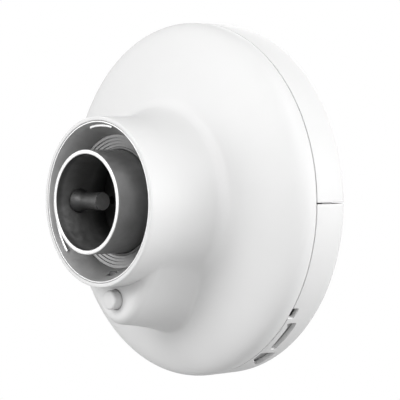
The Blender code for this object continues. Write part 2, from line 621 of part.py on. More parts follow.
def make_chassis_fittings(mats):
    vent = [(0, 1.4 * MM), (4.1 * MM, 1.4 * MM), (4.1 * MM, CHASSIS_BACK + GAP), (7 * MM, CHASSIS_BACK + GAP),
            (7 * MM, 6 * MM), (6 * MM, 7 * MM), (0, 7 * MM)]
    finish("pressure_vent", turned(vent, segments=20), mats["black"], (-60 * MM, 0, -52 * MM))
    screw = [(0, 0.9 * MM), (1.8 * MM, 0.9 * MM), (1.8 * MM, 5.4 * MM), (4 * MM, 5.4 * MM), (4 * MM, 7.8 * MM),
             (0, 7.8 * MM)]
    finish("ground_screw", turned(screw, segments=16), mats["brass"], (62 * MM, 0, -52 * MM))
    washer = rod(5 * MM, CHASSIS_BACK + GAP, 5.1 * MM, segments=20, bore=2.1 * MM)
    finish("ground_washer", washer, mats["brass"], (62 * MM, 0, -52 * MM))


# ---------------------------------------------------------------- rear covers

def cover_outline():
    """A rear cover's section: the rim band, the rounded edge and the back wall up to the central opening."""
    inner_r = DISC_R - BACK_WALL
    corner = (DISC_R - BACK_FILLET_R, BAND_DEPTH)
    return [(inner_r, GAP), (DISC_R, GAP), *arc(corner, BACK_FILLET_R, 0, 90, 4),
            (COVER_HOLE_R, BACK_DEPTH), (COVER_HOLE_R, BACK_DEPTH - BACK_WALL),
            *arc(corner, BACK_FILLET_R - BACK_WALL, 90, 0, 3)]


def make_upper_cover(mats):
    edge = 0.2
    cover = finish("upper_rear_cover", turned(cover_outline(), edge, 180 - edge, 24), mats["white"])
    holes = [place(rod(1.9 * MM, 20 * MM, 30 * MM, segments=12), x, z) for x, z in cover_screws()]
    holes += [place(rod(4 * MM, BACK_DEPTH - 1.3 * MM, 30 * MM, segments=16), x, z) for x, z in cover_screws()]
    for i, hole in enumerate((joined(*holes[:2]), joined(*holes[2:]))):
        boolean(cover, "DIFFERENCE", hole, f"screw_holes_{i}")


def rim_cut(start, end, near, far):
    """A sector that cuts the rim band, from its angles in degrees and its depths."""
    return turned([(DISC_R - 8 * MM, near), (DISC_R + 4 * MM, near), (DISC_R + 4 * MM, far),
                   (DISC_R - 8 * MM, far)], start, end, 5)


def make_port_cover(mats):
    edge = 0.2
    cover = finish("port_cover", turned(cover_outline(), 180 + edge, 360 - edge, 24), mats["white"])
    cuts = []
    for side in (1, -1):
        sectors = ((35, 38, 2 * MM, 4.8 * MM), (41, 54, 5.4 * MM, 9.6 * MM), (57, 66, 2.5 * MM, 15.8 * MM))
        for start, end, near, far in sectors:
            low, high = (-end, -start) if side > 0 else (180 + start, 180 + end)
            cuts.append(rim_cut(low, high, near, far))
    boolean(cover, "DIFFERENCE", joined(*cuts), "rim_openings")
    tongue = [(108.2, -12), (112.5, -12), (112.5, -3), (110.5, -3), (110.5, 6), (108.2, 6)]
    tongues = [prism([(side * x * MM, z * MM) for x, z in tongue], 8 * MM, 16 * MM, "Y") for side in (-1, 1)]
    boolean(cover, "UNION", joined(*tongues), "tongues")
    window = box((-9 * MM, 9 * MM), (BACK_DEPTH - 4 * MM, BACK_DEPTH + MM), (-92 * MM, -78 * MM))
    boolean(cover, "DIFFERENCE", window, "catch_window")
    lens = box((-28.2 * MM, -15.8 * MM), (BACK_DEPTH - 4 * MM, BACK_DEPTH + MM), (-66 * MM, -60 * MM))
    boolean(cover, "DIFFERENCE", lens, "lens_window")
    finish("status_lens", box((-27.9 * MM, -16.1 * MM), (BACK_DEPTH - 3 * MM, BACK_DEPTH + 0.2 * MM),
                              (-65.7 * MM, -60.3 * MM)), mats["clear"], smooth=False)
    tab = prism([(BACK_DEPTH - 2.2 * MM, -91.6 * MM), (BACK_DEPTH, -91.6 * MM), (BACK_DEPTH + 1.4 * MM, -88 * MM),
                 (BACK_DEPTH + 1.4 * MM, -82 * MM), (BACK_DEPTH, -78.4 * MM), (BACK_DEPTH - 2.2 * MM, -78.4 * MM)],
                -8.6 * MM, 8.6 * MM)
    finish("cover_catch", tab, mats["button"])


def make_mount_block(mats):
    front, back = BACK_DEPTH, MOUNT_DEPTH
    outline = [(0, front), (MOUNT_R - 0.6 * MM, front), (MOUNT_R, front + 0.6 * MM), (MOUNT_R, back - 1.5 * MM),
               (MOUNT_R - 1.5 * MM, back), (0, back)]
    block = finish("mount_block", turned(outline), mats["aluminium"])
    holes = [place(rod(3.3 * MM, front - MM, back + MM, segments=10), x, z) for x, z in mount_bolts()]
    holes += [place(rod(5.4 * MM, back - 3.4 * MM, back + MM, segments=12), x, z) for x, z in mount_bolts()]
    for i, hole in enumerate((joined(*holes[:4]), joined(*holes[4:]))):
        boolean(block, "DIFFERENCE", hole, f"bolt_holes_{i}")
    studs = [place(rod(2.65 * MM, back - 4 * MM, back + MM, segments=10), x, z) for x, z in bracket_holes()]
    boolean(block, "DIFFERENCE", joined(*studs), "bracket_holes")


def bracket_holes():
    half = BOLT_SPACING / 2
    return [(-half, 0), (half, 0), (0, -half), (0, half)]


# ---------------------------------------------------------------- fasteners

def screw(name, shaft_r, head_r, head_low, head_high, tip, at, mats, socket):
    """A screw along Y: a shaft to tip and a head with a hexagonal socket in its outer face."""
    toward = 1 if head_high > tip else -1
    low, high = (head_low, head_high) if toward > 0 else (head_high, head_low)
    outline = [(0, tip), (shaft_r, tip), (shaft_r, low), (head_r, low), (head_r, high), (socket, high),
               (socket, high - toward * 1.2 * MM), (0, high - toward * 1.2 * MM)]
    bm = turned(outline, segments=8)
    finish(name, bm, mats["steel"], (at[0], 0, at[1]))


def make_screws(mats):
    for i, at in enumerate(shell_screw_places(), 1):
        screw(f"shell_screw_{i}", 1.5 * MM, 3.2 * MM, 3.4 * MM, 5.8 * MM, -8 * MM, at, mats, 1.4 * MM)
    for i, at in enumerate(board_screws(), 1):
        screw(f"board_screw_{i}", 1.2 * MM, 2.6 * MM, BOARD_FACE - 2.2 * MM, BOARD_FACE - GAP, -2 * MM, at, mats,
              1.1 * MM)
    for i, at in enumerate(port_board_screws(), 1):
        screw(f"port_board_screw_{i}", 1.2 * MM, 2.6 * MM, 6.9 * MM, 8.9 * MM, 4 * MM, at, mats, 1.1 * MM)
    for i, at in enumerate(cover_screws(), 1):
        screw(f"cover_screw_{i}", 1.5 * MM, 3.6 * MM, BACK_DEPTH - MM, BACK_DEPTH + MM, 12 * MM, at, mats, 1.5 * MM)
    for i, at in enumerate(mount_bolts(), 1):
        screw(f"mount_bolt_{i}", 3 * MM, 5 * MM, MOUNT_DEPTH - 3.1 * MM, MOUNT_DEPTH - 0.4 * MM, 15 * MM, at, mats,
              2.4 * MM)


def main():
    clear_scene()
    mats = make_materials()
    make_front_shell(mats)
    make_bayonet_ring(mats)
    make_choke_ring(mats)
    make_port_seal(mats)
    make_waveguide(mats)
    make_backshort(mats)
    make_probes(mats)
    make_feed_cables(mats)
    make_release_button(mats)
    make_latch(mats)
    make_chassis(mats)
    make_gasket(mats)
    make_boards(mats)
    make_ports(mats)
    make_chassis_fittings(mats)
    make_upper_cover(mats)
    make_port_cover(mats)
    make_mount_block(mats)
    make_screws(mats)


main()
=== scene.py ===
"""The looks of a pole-mount radio head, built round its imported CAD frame.

Shapes are worked out in millimetres as (x, depth, z): a depth is measured back from the seam between the front
shell and the rear covers, so a negative depth is in front of it. Turned shapes are (radius, depth) outlines.
"""

import itertools
import math

import bmesh
import bpy
import numpy as np
from mathutils import Matrix, Vector


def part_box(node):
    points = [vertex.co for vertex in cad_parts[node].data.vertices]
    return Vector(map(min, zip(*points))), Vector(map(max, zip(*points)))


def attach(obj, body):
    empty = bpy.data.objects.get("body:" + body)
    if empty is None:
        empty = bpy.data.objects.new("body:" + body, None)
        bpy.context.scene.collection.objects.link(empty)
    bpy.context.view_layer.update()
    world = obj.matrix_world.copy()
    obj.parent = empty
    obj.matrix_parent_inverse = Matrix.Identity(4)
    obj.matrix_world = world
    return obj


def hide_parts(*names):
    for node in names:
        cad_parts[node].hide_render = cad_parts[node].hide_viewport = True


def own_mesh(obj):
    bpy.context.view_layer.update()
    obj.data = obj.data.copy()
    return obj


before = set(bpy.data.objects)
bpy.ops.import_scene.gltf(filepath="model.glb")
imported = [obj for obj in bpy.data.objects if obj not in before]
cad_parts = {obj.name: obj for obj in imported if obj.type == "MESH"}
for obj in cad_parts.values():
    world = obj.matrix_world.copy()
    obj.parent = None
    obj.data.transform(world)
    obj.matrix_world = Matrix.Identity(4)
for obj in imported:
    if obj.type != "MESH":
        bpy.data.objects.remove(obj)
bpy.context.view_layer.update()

MM = 0.001
GAP = 0.3  # between pieces that touch

# Driving sizes, from the frame
SEAM_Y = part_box("front_shell")[1].y + GAP * MM
DISC_R = round(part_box("port_cover")[1].x / MM, 1)
COLLAR_FACE = (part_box("front_shell")[0].y - SEAM_Y) / MM
GUIDE_FACE = (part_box("waveguide_tube")[0].y - SEAM_Y) / MM
MOUNT_FACE = (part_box("mount_block")[1].y - SEAM_Y) / MM
MOUNT_R = round(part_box("mount_block")[1].x / MM, 1)
BUTTON_FACE = (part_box("release_button")[0].y - SEAM_Y) / MM

# Housing
WALL = 2.6
DOME_RISE = 33.5  # the dome: depth = -DOME_RISE * (1 - r / DISC_R) ** DOME_POWER
DOME_POWER = 0.33
COLLAR_R = 53
NECK_BORE_R = 50.4
FILLET_R = 4  # between neck and dome
FLARE_R = 62  # the neck opens out along an arc
FLARE_START = -57  # depth
RIM_START_R = 95  # the dome is steep beyond it
POD_FACE = -62.4
POD_R = 14
POD_SLOPE = 6 / 42.4
POD_ROUND = 6
POD_BLEND = 2
GUSSET_R = 35  # the hollow flanks between the pod and the neck
CREASE_R = 0.8  # where the pod meets the rest
BUTTON_Z = -61.4
BUTTON_R = 6.1
BAND_DEPTH = 20.8
BACK_FILLET_R = 6
CHASSIS_BACK = 3.1
BOARD_FACE = -8.6
BOARD_T = 1.6
PORT_BOARD_FACE = 5
PORT_BOARD_TOP = PORT_BOARD_FACE + BOARD_T
BACK_DEPTH = BAND_DEPTH + BACK_FILLET_R
BACK_WALL = 2.5
COVER_HOLE_R = 46

# Moving parts and small parts at the back
BUTTON_TRAVEL = 3
LATCH_RATIO = 0.66  # of the button's travel
PIN_DEPTH = -43  # the pin in the button's stem that drives the latch
SPRING_X = 6.3
LEG_X = (6.2, 8)  # the latch's leg, beside the button's stem
LEG_DEPTH = (-46.2, -39.8)
CATCH_X = (-9, 9)  # the openings in the port cover, for its catch and its lens
CATCH_Z = (-92, -78)
CATCH_GAP = 0.4
LENS_X = (-28.2, -15.8)
LENS_Z = (-66, -60)
RESET_AT = {"x": 20, "z": -63}
VENT_AT = {"x": -60, "z": -52}
GROUND_AT = {"x": 62, "z": -52}

# Fasteners and posts: (x, z)
COVER_SCREWS = [(-62, 62), (62, 62)]
PORT_SCREWS = [(-32, -66), (32, -66)]
MOUNT_BOLTS = [(x, z) for x in (-27, 27) for z in (-27, 27)]
BOARD_POSTS = [(x, z) for x in (-54, 54) for z in (-54, 54)]
SHELL_SCREWS = [(96 * math.cos(a), 96 * math.sin(a)) for a in (math.radians(30 + 60 * k) for k in range(6))]

# Waveguide port
GUIDE_R = 29.7
GUIDE_WALL = 2.6
GUIDE_BACK = -46
SHORT_FACE = -48.5
FUNNEL_FACE = -77.2
FUNNEL_R = 49.3
FUNNEL_END = -62
FUNNEL_END_R = 41.6
CHOKE_STEP_R = 1.9
CHOKE_STEP_DEPTH = 0.8
CHOKE_STEPS = 4
FLANGE_R = 45.5
FLANGE_FACE = -55.7
FLANGE_BACK = -53.2
LUG_DEPTH = -73
LUG_R = 46.4
LUG_ANGLES = (90, 210, 330)
LUG_HALF_ANGLE = 13
LATCH_DEPTH = -68.5
FRONT_PROBE_DEPTH = -68.5
REAR_PROBE_DEPTH = -51

PLATING_ROUGHNESS = 0.5
# Painted light and shade on the plating by depth: (share of the way in, brightness factor)
# The bore: painted shade near the mouth, a painted highlight band part way in, and painted shade deepening towards
# the short.
BORE_PAINTED_LIGHT = (0, 0.5), (0.12, 0.5), (0.27, 2.4), (0.4, 3.2), (0.54, 2.2), (0.74, 0.6), (1, 0.2)
# The funnel: painted light that brightens it towards its back.
FUNNEL_PAINTED_LIGHT = (0, 1), (0.55, 1), (0.8, 1.5), (1, 1.9)

SEGMENTS = 192  # in a full turn


# ---------------------------------------------------------------- mesh tools

def to_object(name, bm, materials, sharp=32):
    """Turns a mesh in millimetres and depths into a piece in the row frame, smooth shaded up to the sharp angle."""
    bmesh.ops.remove_doubles(bm, verts=bm.verts, dist=1e-5)
    bmesh.ops.delete(bm, geom=[v for v in bm.verts if not v.link_faces], context="VERTS")
    bmesh.ops.recalc_face_normals(bm, faces=bm.faces)
    bmesh.ops.scale(bm, vec=(MM, MM, MM), verts=bm.verts)
    bmesh.ops.translate(bm, vec=(0, SEAM_Y, 0), verts=bm.verts)
    mesh = bpy.data.meshes.new(name)
    bm.to_mesh(mesh)
    bm.free()
    shade(mesh, sharp)
    made = bpy.data.objects.new(name, mesh)
    bpy.context.scene.collection.objects.link(made)
    for mat in materials if isinstance(materials, (list, tuple)) else [materials]:
        mesh.materials.append(mat)
    return made


def shade(mesh, sharp):
    mesh.shade_smooth()
    mesh.set_sharp_from_angle(angle=math.radians(sharp))


def apply_modifiers(piece, sharp=32):
    """Replaces the piece's mesh by its evaluated one, with no modifier left."""
    bpy.context.view_layer.update()
    graph = bpy.context.evaluated_depsgraph_get()
    mesh = bpy.data.meshes.new_from_object(piece.evaluated_get(graph))
    piece.modifiers.clear()
    piece.data = mesh
    shade(mesh, sharp)


def cut(piece, *shapes, operation="DIFFERENCE", sharp=32):
    """Applies a Boolean with each shape in turn, and deletes the shapes."""
    for shape in shapes:
        tool = to_object(f"{piece.name}_tool", shape, piece.data.materials[0])
        change = piece.modifiers.new("cut", "BOOLEAN")
        change.operation = operation
        change.object = tool
        apply_modifiers(piece, sharp)
        bpy.data.objects.remove(tool)


def face_place(face):
    """A face's centre as (x, depth, z, radius), in millimetres."""
    x, z = face.center.x / MM, face.center.z / MM
    return x, (face.center.y - SEAM_Y) / MM, z, math.hypot(x, z)


def repaint(piece, index, chosen):
    """Gives the faces for which chosen(face, x, depth, z, radius) is true another of the piece's materials."""
    for face in piece.data.polygons:
        if chosen(face, *face_place(face)):
            face.material_index = index


def soften(piece, width, segments=3, angle=40):
    """Rounds the edges that are sharper than an angle."""
    bevel = piece.modifiers.new("edges", "BEVEL")
    bevel.width = width * MM
    bevel.segments = segments
    bevel.limit_method = "ANGLE"
    bevel.angle_limit = math.radians(angle)
    bevel.use_clamp_overlap = True
    apply_modifiers(piece)


def rounded(corners, steps=4):
    """A closed outline from corners (a, b) or (a, b, radius), with an arc at each corner that has a radius."""
    points = []
    count = len(corners)
    for i, corner in enumerate(corners):
        here = Vector(corner[:2])
        radius = corner[2] if len(corner) > 2 else 0
        if not radius:
            points.append(tuple(here))
            continue
        before = (Vector(corners[i - 1][:2]) - here).normalized()
        after = (Vector(corners[(i + 1) % count][:2]) - here).normalized()
        half = before.angle(after) / 2
        centre = here + (before + after).normalized() * (radius / math.sin(half))
        first = here + before * (radius / math.tan(half)) - centre
        last = here + after * (radius / math.tan(half)) - centre
        start = math.atan2(first.y, first.x)
        sweep = (math.atan2(last.y, last.x) - start + math.pi) % (2 * math.pi) - math.pi
        for k in range(steps + 1):
            angle = start + sweep * k / steps
            points.append((centre.x + radius * math.cos(angle), centre.y + radius * math.sin(angle)))
    return points


def ring_point(radius, along, angle, axis):
    c, s = math.cos(angle) * radius, math.sin(angle) * radius
    return {"Y": (c, along, s), "Z": (c, s, along), "X": (along, c, s)}[axis]


def bridge(bm, rings):
    """Closed bands of four-sided faces between rings of as many points."""
    for low, high in zip(rings, rings[1:]):
        for j in range(len(low)):
            k = (j + 1) % len(low)
            bm.faces.new((low[j], low[k], high[k], high[j]))


def turned(outline, start=0, end=360, segments=SEGMENTS, axis="Y"):
    """A closed (radius, depth) outline turned about an axis; less than a full turn gets flat end faces."""
    bm = bmesh.new()
    whole = end - start >= 360
    rings = []
    for i in range(segments if whole else segments + 1):
        angle = math.radians(start + (end - start) * i / segments)
        rings.append([bm.verts.new(ring_point(r, d, angle, axis)) for r, d in outline])
    for j in range(len(outline)):
        k = (j + 1) % len(outline)
        near_axis, far_axis = outline[j][0] < 1e-9, outline[k][0] < 1e-9
        if near_axis and far_axis:
            continue
        if (near_axis or far_axis) and whole and outline[j][1] == outline[k][1]:
            bm.faces.new([ring[k if near_axis else j] for ring in rings])
            continue
        for i in range(segments):
            here, there = rings[i], rings[(i + 1) % len(rings)]
            if near_axis:
                bm.faces.new((here[j], here[k], there[k]))
            elif far_axis:
                bm.faces.new((here[j], here[k], there[j]))
            else:
                bm.faces.new((here[j], here[k], there[k], there[j]))
    if not whole:
        bm.faces.new(rings[0])
        bm.faces.new(rings[-1])
    return bm


def rod(radius, low, high, axis="Y", segments=48, bore=0.0, edge=0.0):
    """A straight round bar or sleeve with rounded outer edges."""
    return turned(rounded([(bore, low), (radius, low, edge), (radius, high, edge), (bore, high)]),
                  segments=segments, axis=axis)


def moved(shape, x=0.0, depth=0.0, z=0.0):
    bmesh.ops.translate(shape, verts=shape.verts, vec=(x, depth, z))
    return shape


def turn_about_port(shape, degrees):
    bmesh.ops.rotate(shape, verts=shape.verts, cent=(0, 0, 0), matrix=Matrix.Rotation(math.radians(degrees), 3, "Y"))
    return shape


def circle(radius, count, centre=(0, 0)):
    """Points spaced evenly round a circle."""
    angles = [math.radians(360 * k / count) for k in range(count)]
    return [(centre[0] + radius * math.cos(a), centre[1] + radius * math.sin(a)) for a in angles]


def inside(span, gap=GAP):
    """A (low, high) span with a gap at both ends; a negative gap widens it."""
    return span[0] + gap, span[1] - gap


def box(x, depth, z):
    """A box from its low and high X, depth and Z."""
    bm = bmesh.new()
    bmesh.ops.create_cube(bm, size=1)
    size = Vector((x[1] - x[0], depth[1] - depth[0], z[1] - z[0]))
    centre = Vector((x[1] + x[0], depth[1] + depth[0], z[1] + z[0])) / 2
    bmesh.ops.transform(bm, matrix=Matrix.Translation(centre) @ Matrix.Diagonal((*size, 1)), verts=bm.verts)
    return bm


def prism(outline, low, high, axis="Y"):
    """A flat outline pushed through: (depth, z) points along X, (x, z) along Y or (x, depth) along Z."""
    bm = bmesh.new()
    place = {"X": lambda a, b, t: (t, a, b), "Y": lambda a, b, t: (a, t, b), "Z": lambda a, b, t: (a, b, t)}[axis]
    ends = [[bm.verts.new(place(a, b, t)) for a, b in outline] for t in (low, high)]
    bridge(bm, ends)
    bm.faces.new(ends[0])
    bm.faces.new(ends[1])
    return bm


def joined(*shapes):
    """Several shapes in one mesh."""
    whole = bmesh.new()
    for shape in shapes:
        mesh = bpy.data.meshes.new("shape")
        bmesh.ops.recalc_face_normals(shape, faces=shape.faces)
        shape.to_mesh(mesh)
        shape.free()
        whole.from_mesh(mesh)
        bpy.data.meshes.remove(mesh)
    return whole


def at_places(shape, places):
    """Cutters or posts: the shape made anew at each (x, z) place."""
    return joined(*[moved(shape(), x=x, z=z) for x, z in places])


def stand_for(piece, slot, *nodes, body="housing"):
    """The piece rides on a body in place of CAD nodes, which it hides; the slot is not used."""
    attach(piece, body)
    if nodes:
        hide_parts(*nodes)
    return piece


# ---------------------------------------------------------------- materials

def principled(name, colour, roughness, metallic=0.0, **settings):
    made = bpy.data.materials.new(name)
    made.use_nodes = True
    shader = made.node_tree.nodes["Principled BSDF"]
    shader.inputs["Base Color"].default_value = (*colour, 1)
    shader.inputs["Roughness"].default_value = roughness
    shader.inputs["Metallic"].default_value = metallic
    for key, value in settings.items():
        shader.inputs[key.replace("_", " ")].default_value = value
    made.diffuse_color = (*colour, 1)
    return made


def shader_input(material, name):
    return material.node_tree.nodes["Principled BSDF"].inputs[name]


def node(owner, kind, **inputs):
    """A new node of a material or a world, with its inputs set."""
    made = owner.node_tree.nodes.new(kind)
    for key, value in inputs.items():
        made.inputs[key].default_value = value
    return made


def link(owner, out, into):
    owner.node_tree.links.new(out, into)


def noise(material, scale, detail=3.0):
    """A noise value over the piece, with features about 1 / scale metres across."""
    texture = node(material, "ShaderNodeTexNoise", Scale=scale, Detail=detail, Roughness=0.55)
    link(material, node(material, "ShaderNodeTexCoord").outputs["Object"], texture.inputs["Vector"])
    return texture.outputs["Fac"]


def spread(material, value, low, high, start=0.3, end=0.7):
    """Maps a noise value to a range."""
    ranged = node(material, "ShaderNodeMapRange")
    for key, amount in (("From Min", start), ("From Max", end), ("To Min", low), ("To Max", high)):
        ranged.inputs[key].default_value = amount
    link(material, value, ranged.inputs["Value"])
    return ranged.outputs["Result"]


def vary_roughness(material, value, low, high):
    link(material, spread(material, value, low, high), shader_input(material, "Roughness"))


def vary_colour(material, value, dark, light):
    ramp = node(material, "ShaderNodeValToRGB")
    for stop, position, colour in zip(ramp.color_ramp.elements, (0.3, 0.7), (dark, light)):
        stop.position, stop.color = position, (*colour, 1)
    link(material, value, ramp.inputs["Fac"])
    link(material, ramp.outputs["Color"], shader_input(material, "Base Color"))


def bumps(material, *layers):
    """Bump layers (height value, height in millimetres), one on top of another."""
    normal = None
    for value, height in layers:
        bump = node(material, "ShaderNodeBump", Strength=1.0, Distance=height * MM)
        link(material, value, bump.inputs["Height"])
        if normal:
            link(material, normal, bump.inputs["Normal"])
        normal = bump.outputs["Normal"]
    link(material, normal, shader_input(material, "Normal"))


def grey(value, tint=0.0):
    return value, value, value + tint


def worn(made, colour, roughness, clouds, tones, dull, swing, *layers):
    """Varies a material's colour by one noise and its roughness by another, and adds its bump layers."""
    dark, light = (tuple(min(1.0, c * tone) for c in colour) for tone in tones)
    vary_colour(made, clouds, dark, light)
    vary_roughness(made, dull, roughness - swing[0], min(1.0, roughness + swing[1]))
    bumps(made, *layers)
    return made


def white_plastic(name, value, roughness, grain):
    """Moulded white plastic with a fine spark-eroded grain and slow flow marks."""
    made = principled(name, grey(value), roughness, Specular_IOR_Level=0.3)
    fine, slow = noise(made, 2600, 2.0), noise(made, 28, 2.0)
    return worn(made, grey(value), roughness, slow, (0.985, 1), noise(made, 420), (0.04, 0.05),
                (slow, 0.02), (fine, grain))


def cast_metal(name, value, roughness, grain, scale=900):
    """Die-cast metal under a satin plating: a fine pebbled skin, clouded where it handles."""
    made = principled(name, grey(value), roughness, 1.0)
    slow = noise(made, 60, 4.0)
    return worn(made, grey(value), roughness, slow, (0.88, 1.06), noise(made, 260, 5.0), (0.06, 0.08),
                (slow, 0.03), (noise(made, scale, 4.0), grain))


def plating_with_painted_light(name, value, grain, scale, ends, tones):
    """Plating with painted light and shade by depth: tones multiply its colour from the first of its end depths to
    the second.
    """
    made = cast_metal(name, value, PLATING_ROUGHNESS, grain, scale)
    clouds = shader_input(made, "Base Color").links[0].from_socket
    place = node(made, "ShaderNodeSeparateXYZ")
    link(made, node(made, "ShaderNodeTexCoord").outputs["Object"], place.inputs["Vector"])
    start, end = (SEAM_Y + depth * MM for depth in ends)
    ramp = node(made, "ShaderNodeValToRGB")
    ramp.color_ramp.interpolation = "B_SPLINE"
    stops = ramp.color_ramp.elements
    for share, _ in tones[1:-1]:
        stops.new(share)
    for stop, (_, tone) in zip(stops, tones):
        stop.color = (*grey(tone), 1)
    link(made, spread(made, place.outputs["Y"], 0, 1, start, end), ramp.inputs["Fac"])
    mix = node(made, "ShaderNodeMix")
    mix.data_type, mix.blend_type = "RGBA", "MULTIPLY"
    mix.inputs["Factor"].default_value = 1.0
    one, other = (socket for socket in mix.inputs if socket.type == "RGBA")
    link(made, clouds, one)
    link(made, ramp.outputs["Color"], other)
    link(made, next(socket for socket in mix.outputs if socket.type == "RGBA"), shader_input(made, "Base Color"))
    return made


def turned_metal(name, value, roughness):
    """Machined metal with fine tool marks."""
    made = principled(name, grey(value), roughness, 1.0)
    lines = noise(made, 1400, 2.0)
    return worn(made, grey(value), roughness, noise(made, 90, 3.0), (0.93, 1.04), lines, (0.06, 0.08), (lines, 0.004))


def plain_metal(name, colour, roughness):
    made = principled(name, colour, roughness, 1.0)
    return worn(made, colour, roughness, noise(made, 320, 4.0), (0.86, 1.05), noise(made, 900, 3.0), (0.07, 0.1),
                (noise(made, 2400, 3.0), 0.004))


def soft_plastic(name, colour, roughness):
    made = principled(name, colour, roughness)
    return worn(made, colour, roughness, noise(made, 120, 3.0), (0.85, 1.1), noise(made, 500, 3.0), (0.06, 0.08),
                (noise(made, 1800, 3.0), 0.01))


def circuit_board():
    """Green solder mask over copper pours, which show as a paler pattern of tracks."""
    made = principled("board_mask", (0.02, 0.12, 0.06), 0.32, IOR=1.52)
    brick = node(made, "ShaderNodeTexBrick", Scale=140.0)
    brick.inputs["Mortar Size"].default_value = 0.012
    place = node(made, "ShaderNodeTexCoord").outputs["Object"]
    turn = node(made, "ShaderNodeMapping", Rotation=(math.radians(90), 0, 0))
    link(made, place, turn.inputs["Vector"])
    link(made, turn.outputs["Vector"], brick.inputs["Vector"])
    for key, colour in (("Color1", (0.012, 0.1, 0.045, 1)), ("Color2", (0.016, 0.125, 0.055, 1)),
                        ("Mortar", (0.008, 0.06, 0.028, 1))):
        brick.inputs[key].default_value = colour
    link(made, brick.outputs["Color"], shader_input(made, "Base Color"))
    vary_roughness(made, noise(made, 600, 3.0), 0.26, 0.38)
    bumps(made, (brick.outputs["Fac"], 0.02), (noise(made, 1500, 2.0), 0.004))
    return made


def make_materials():
    clear = principled("light_pipe", (0.86, 0.9, 0.92), 0.18, IOR=1.49, Transmission_Weight=0.6)
    bumps(clear, (noise(clear, 900), 0.01))
    return {
        "white": white_plastic("shell_plastic", 0.55, 0.52, 0.005),
        "button": white_plastic("button_plastic", 0.53, 0.55, 0.008),
        "cast": cast_metal("plated_casting", 0.52, PLATING_ROUGHNESS, 0.005),
        "guide": cast_metal("guide_plating", 0.24, PLATING_ROUGHNESS, 0.001, 400),
        # The bore's plating carries a painted highlight band and painted shade by depth.
        "bore": plating_with_painted_light("bore_painted_light", 0.3, 0.001, 400, (GUIDE_FACE, SHORT_FACE), BORE_PAINTED_LIGHT),
        # The funnel's plating carries painted light that brightens it towards the back.
        "funnel": plating_with_painted_light("funnel_painted_light", 0.52, 0.005, 900, (FUNNEL_FACE, FUNNEL_END), FUNNEL_PAINTED_LIGHT),
        # The probe stub is the plating darkened: painted shade inside the guide.
        "probe": cast_metal("probe_painted_shade", 0.09, 0.55, 0.001, 400),
        # Grey for the floors in the rim's openings: painted shade in the recesses of the white cover.
        "well": soft_plastic("well_painted_shade", grey(0.3), 0.6),
        # The choke steps are the plating darkened: painted shade deep in the cavity.
        "steps": turned_metal("choke_steps_painted_shade", 0.2, 0.5),
        # Lighter metal for faces that look to the front: a machined finish, with a painted highlight of the front
        # lamps.
        "machined": turned_metal("machined_face_and_highlight", 0.6, 0.5),
        "aluminium": cast_metal("cast_aluminium", 0.62, 0.46, 0.02, 1300),
        "steel": plain_metal("screw_steel", (0.62, 0.62, 0.62), 0.3),
        "brass": plain_metal("brass", (0.72, 0.53, 0.26), 0.28),
        "rubber": soft_plastic("seal_rubber", grey(0.12), 0.7),
        "ptfe": soft_plastic("insulator", (0.8, 0.8, 0.77), 0.5),
        "board": circuit_board(),
        "black": soft_plastic("black_plastic", (0.025, 0.025, 0.027), 0.42),
        "pad": soft_plastic("thermal_pad_silicone", (0.33, 0.4, 0.48), 0.8),
        "clear": clear,
    }


# ---------------------------------------------------------------- front shell

def blended(one, other, radius):
    """The union of two fields, with a round fillet where they meet."""
    corner = np.hypot(np.maximum(radius - one, 0), np.maximum(radius - other, 0))
    return np.maximum(radius, np.minimum(one, other)) - corner


def dome_field(radius, depth):
    """Distance-like: measured along the depth over the flat part, and outwards near the rim, where it is steep."""
    share = np.clip(1 - radius / DISC_R, 1e-6, 1)
    rise = DOME_RISE * DOME_POWER / DISC_R * share ** (DOME_POWER - 1)
    along = (-DOME_RISE * share**DOME_POWER - depth) / np.sqrt(1 + rise**2)
    share = np.clip(-depth / DOME_RISE, 0, 1)
    growth = DISC_R / (DOME_POWER * DOME_RISE) * share ** (1 / DOME_POWER - 1)
    outward = (radius - DISC_R * (1 - share ** (1 / DOME_POWER))) / np.sqrt(1 + growth**2)
    return np.where(radius < RIM_START_R, along, outward)


def shell_field(p, inset):
    """Below zero inside the shell's outer form, moved inwards by inset; close to the distance near the surface."""
    x, depth, z = p[..., 0], p[..., 1], p[..., 2]
    radius = np.hypot(x, z)
    flared = np.maximum(depth - FLARE_START, 0)
    neck = (radius - COLLAR_R - flared**2 / (2 * FLARE_R)) / np.sqrt(1 + (flared / FLARE_R) ** 2)
    dome = dome_field(radius, depth)
    side = (np.hypot(x, z - BUTTON_Z) - POD_R - POD_SLOPE * (depth - POD_FACE)) / math.sqrt(1 + POD_SLOPE**2)
    side = blended(side, neck + CREASE_R, GUSSET_R)
    face = POD_FACE - depth
    edge = np.hypot(np.maximum(side + POD_ROUND, 0), np.maximum(face + POD_ROUND, 0))
    pod = np.minimum(-POD_ROUND, np.maximum(side, face)) + edge
    pod = blended(pod, dome + CREASE_R, POD_BLEND)
    return blended(blended(neck, dome, FILLET_R), pod, CREASE_R) + inset


def gradient(p, inset):
    step = 0.05
    moves = np.eye(3) * step
    return np.stack([(shell_field(p + m, inset) - shell_field(p - m, inset)) / (2 * step) for m in moves], -1)


def settle(p, inset, free=(1, 1, 1)):
    """Moves points onto the surface, along the directions that are free."""
    for _ in range(6):
        slope = gradient(p, inset) * free
        length = np.maximum((slope**2).sum(-1), 0.05)
        p = p - slope * (shell_field(p, inset) / length)[:, None]
    return p


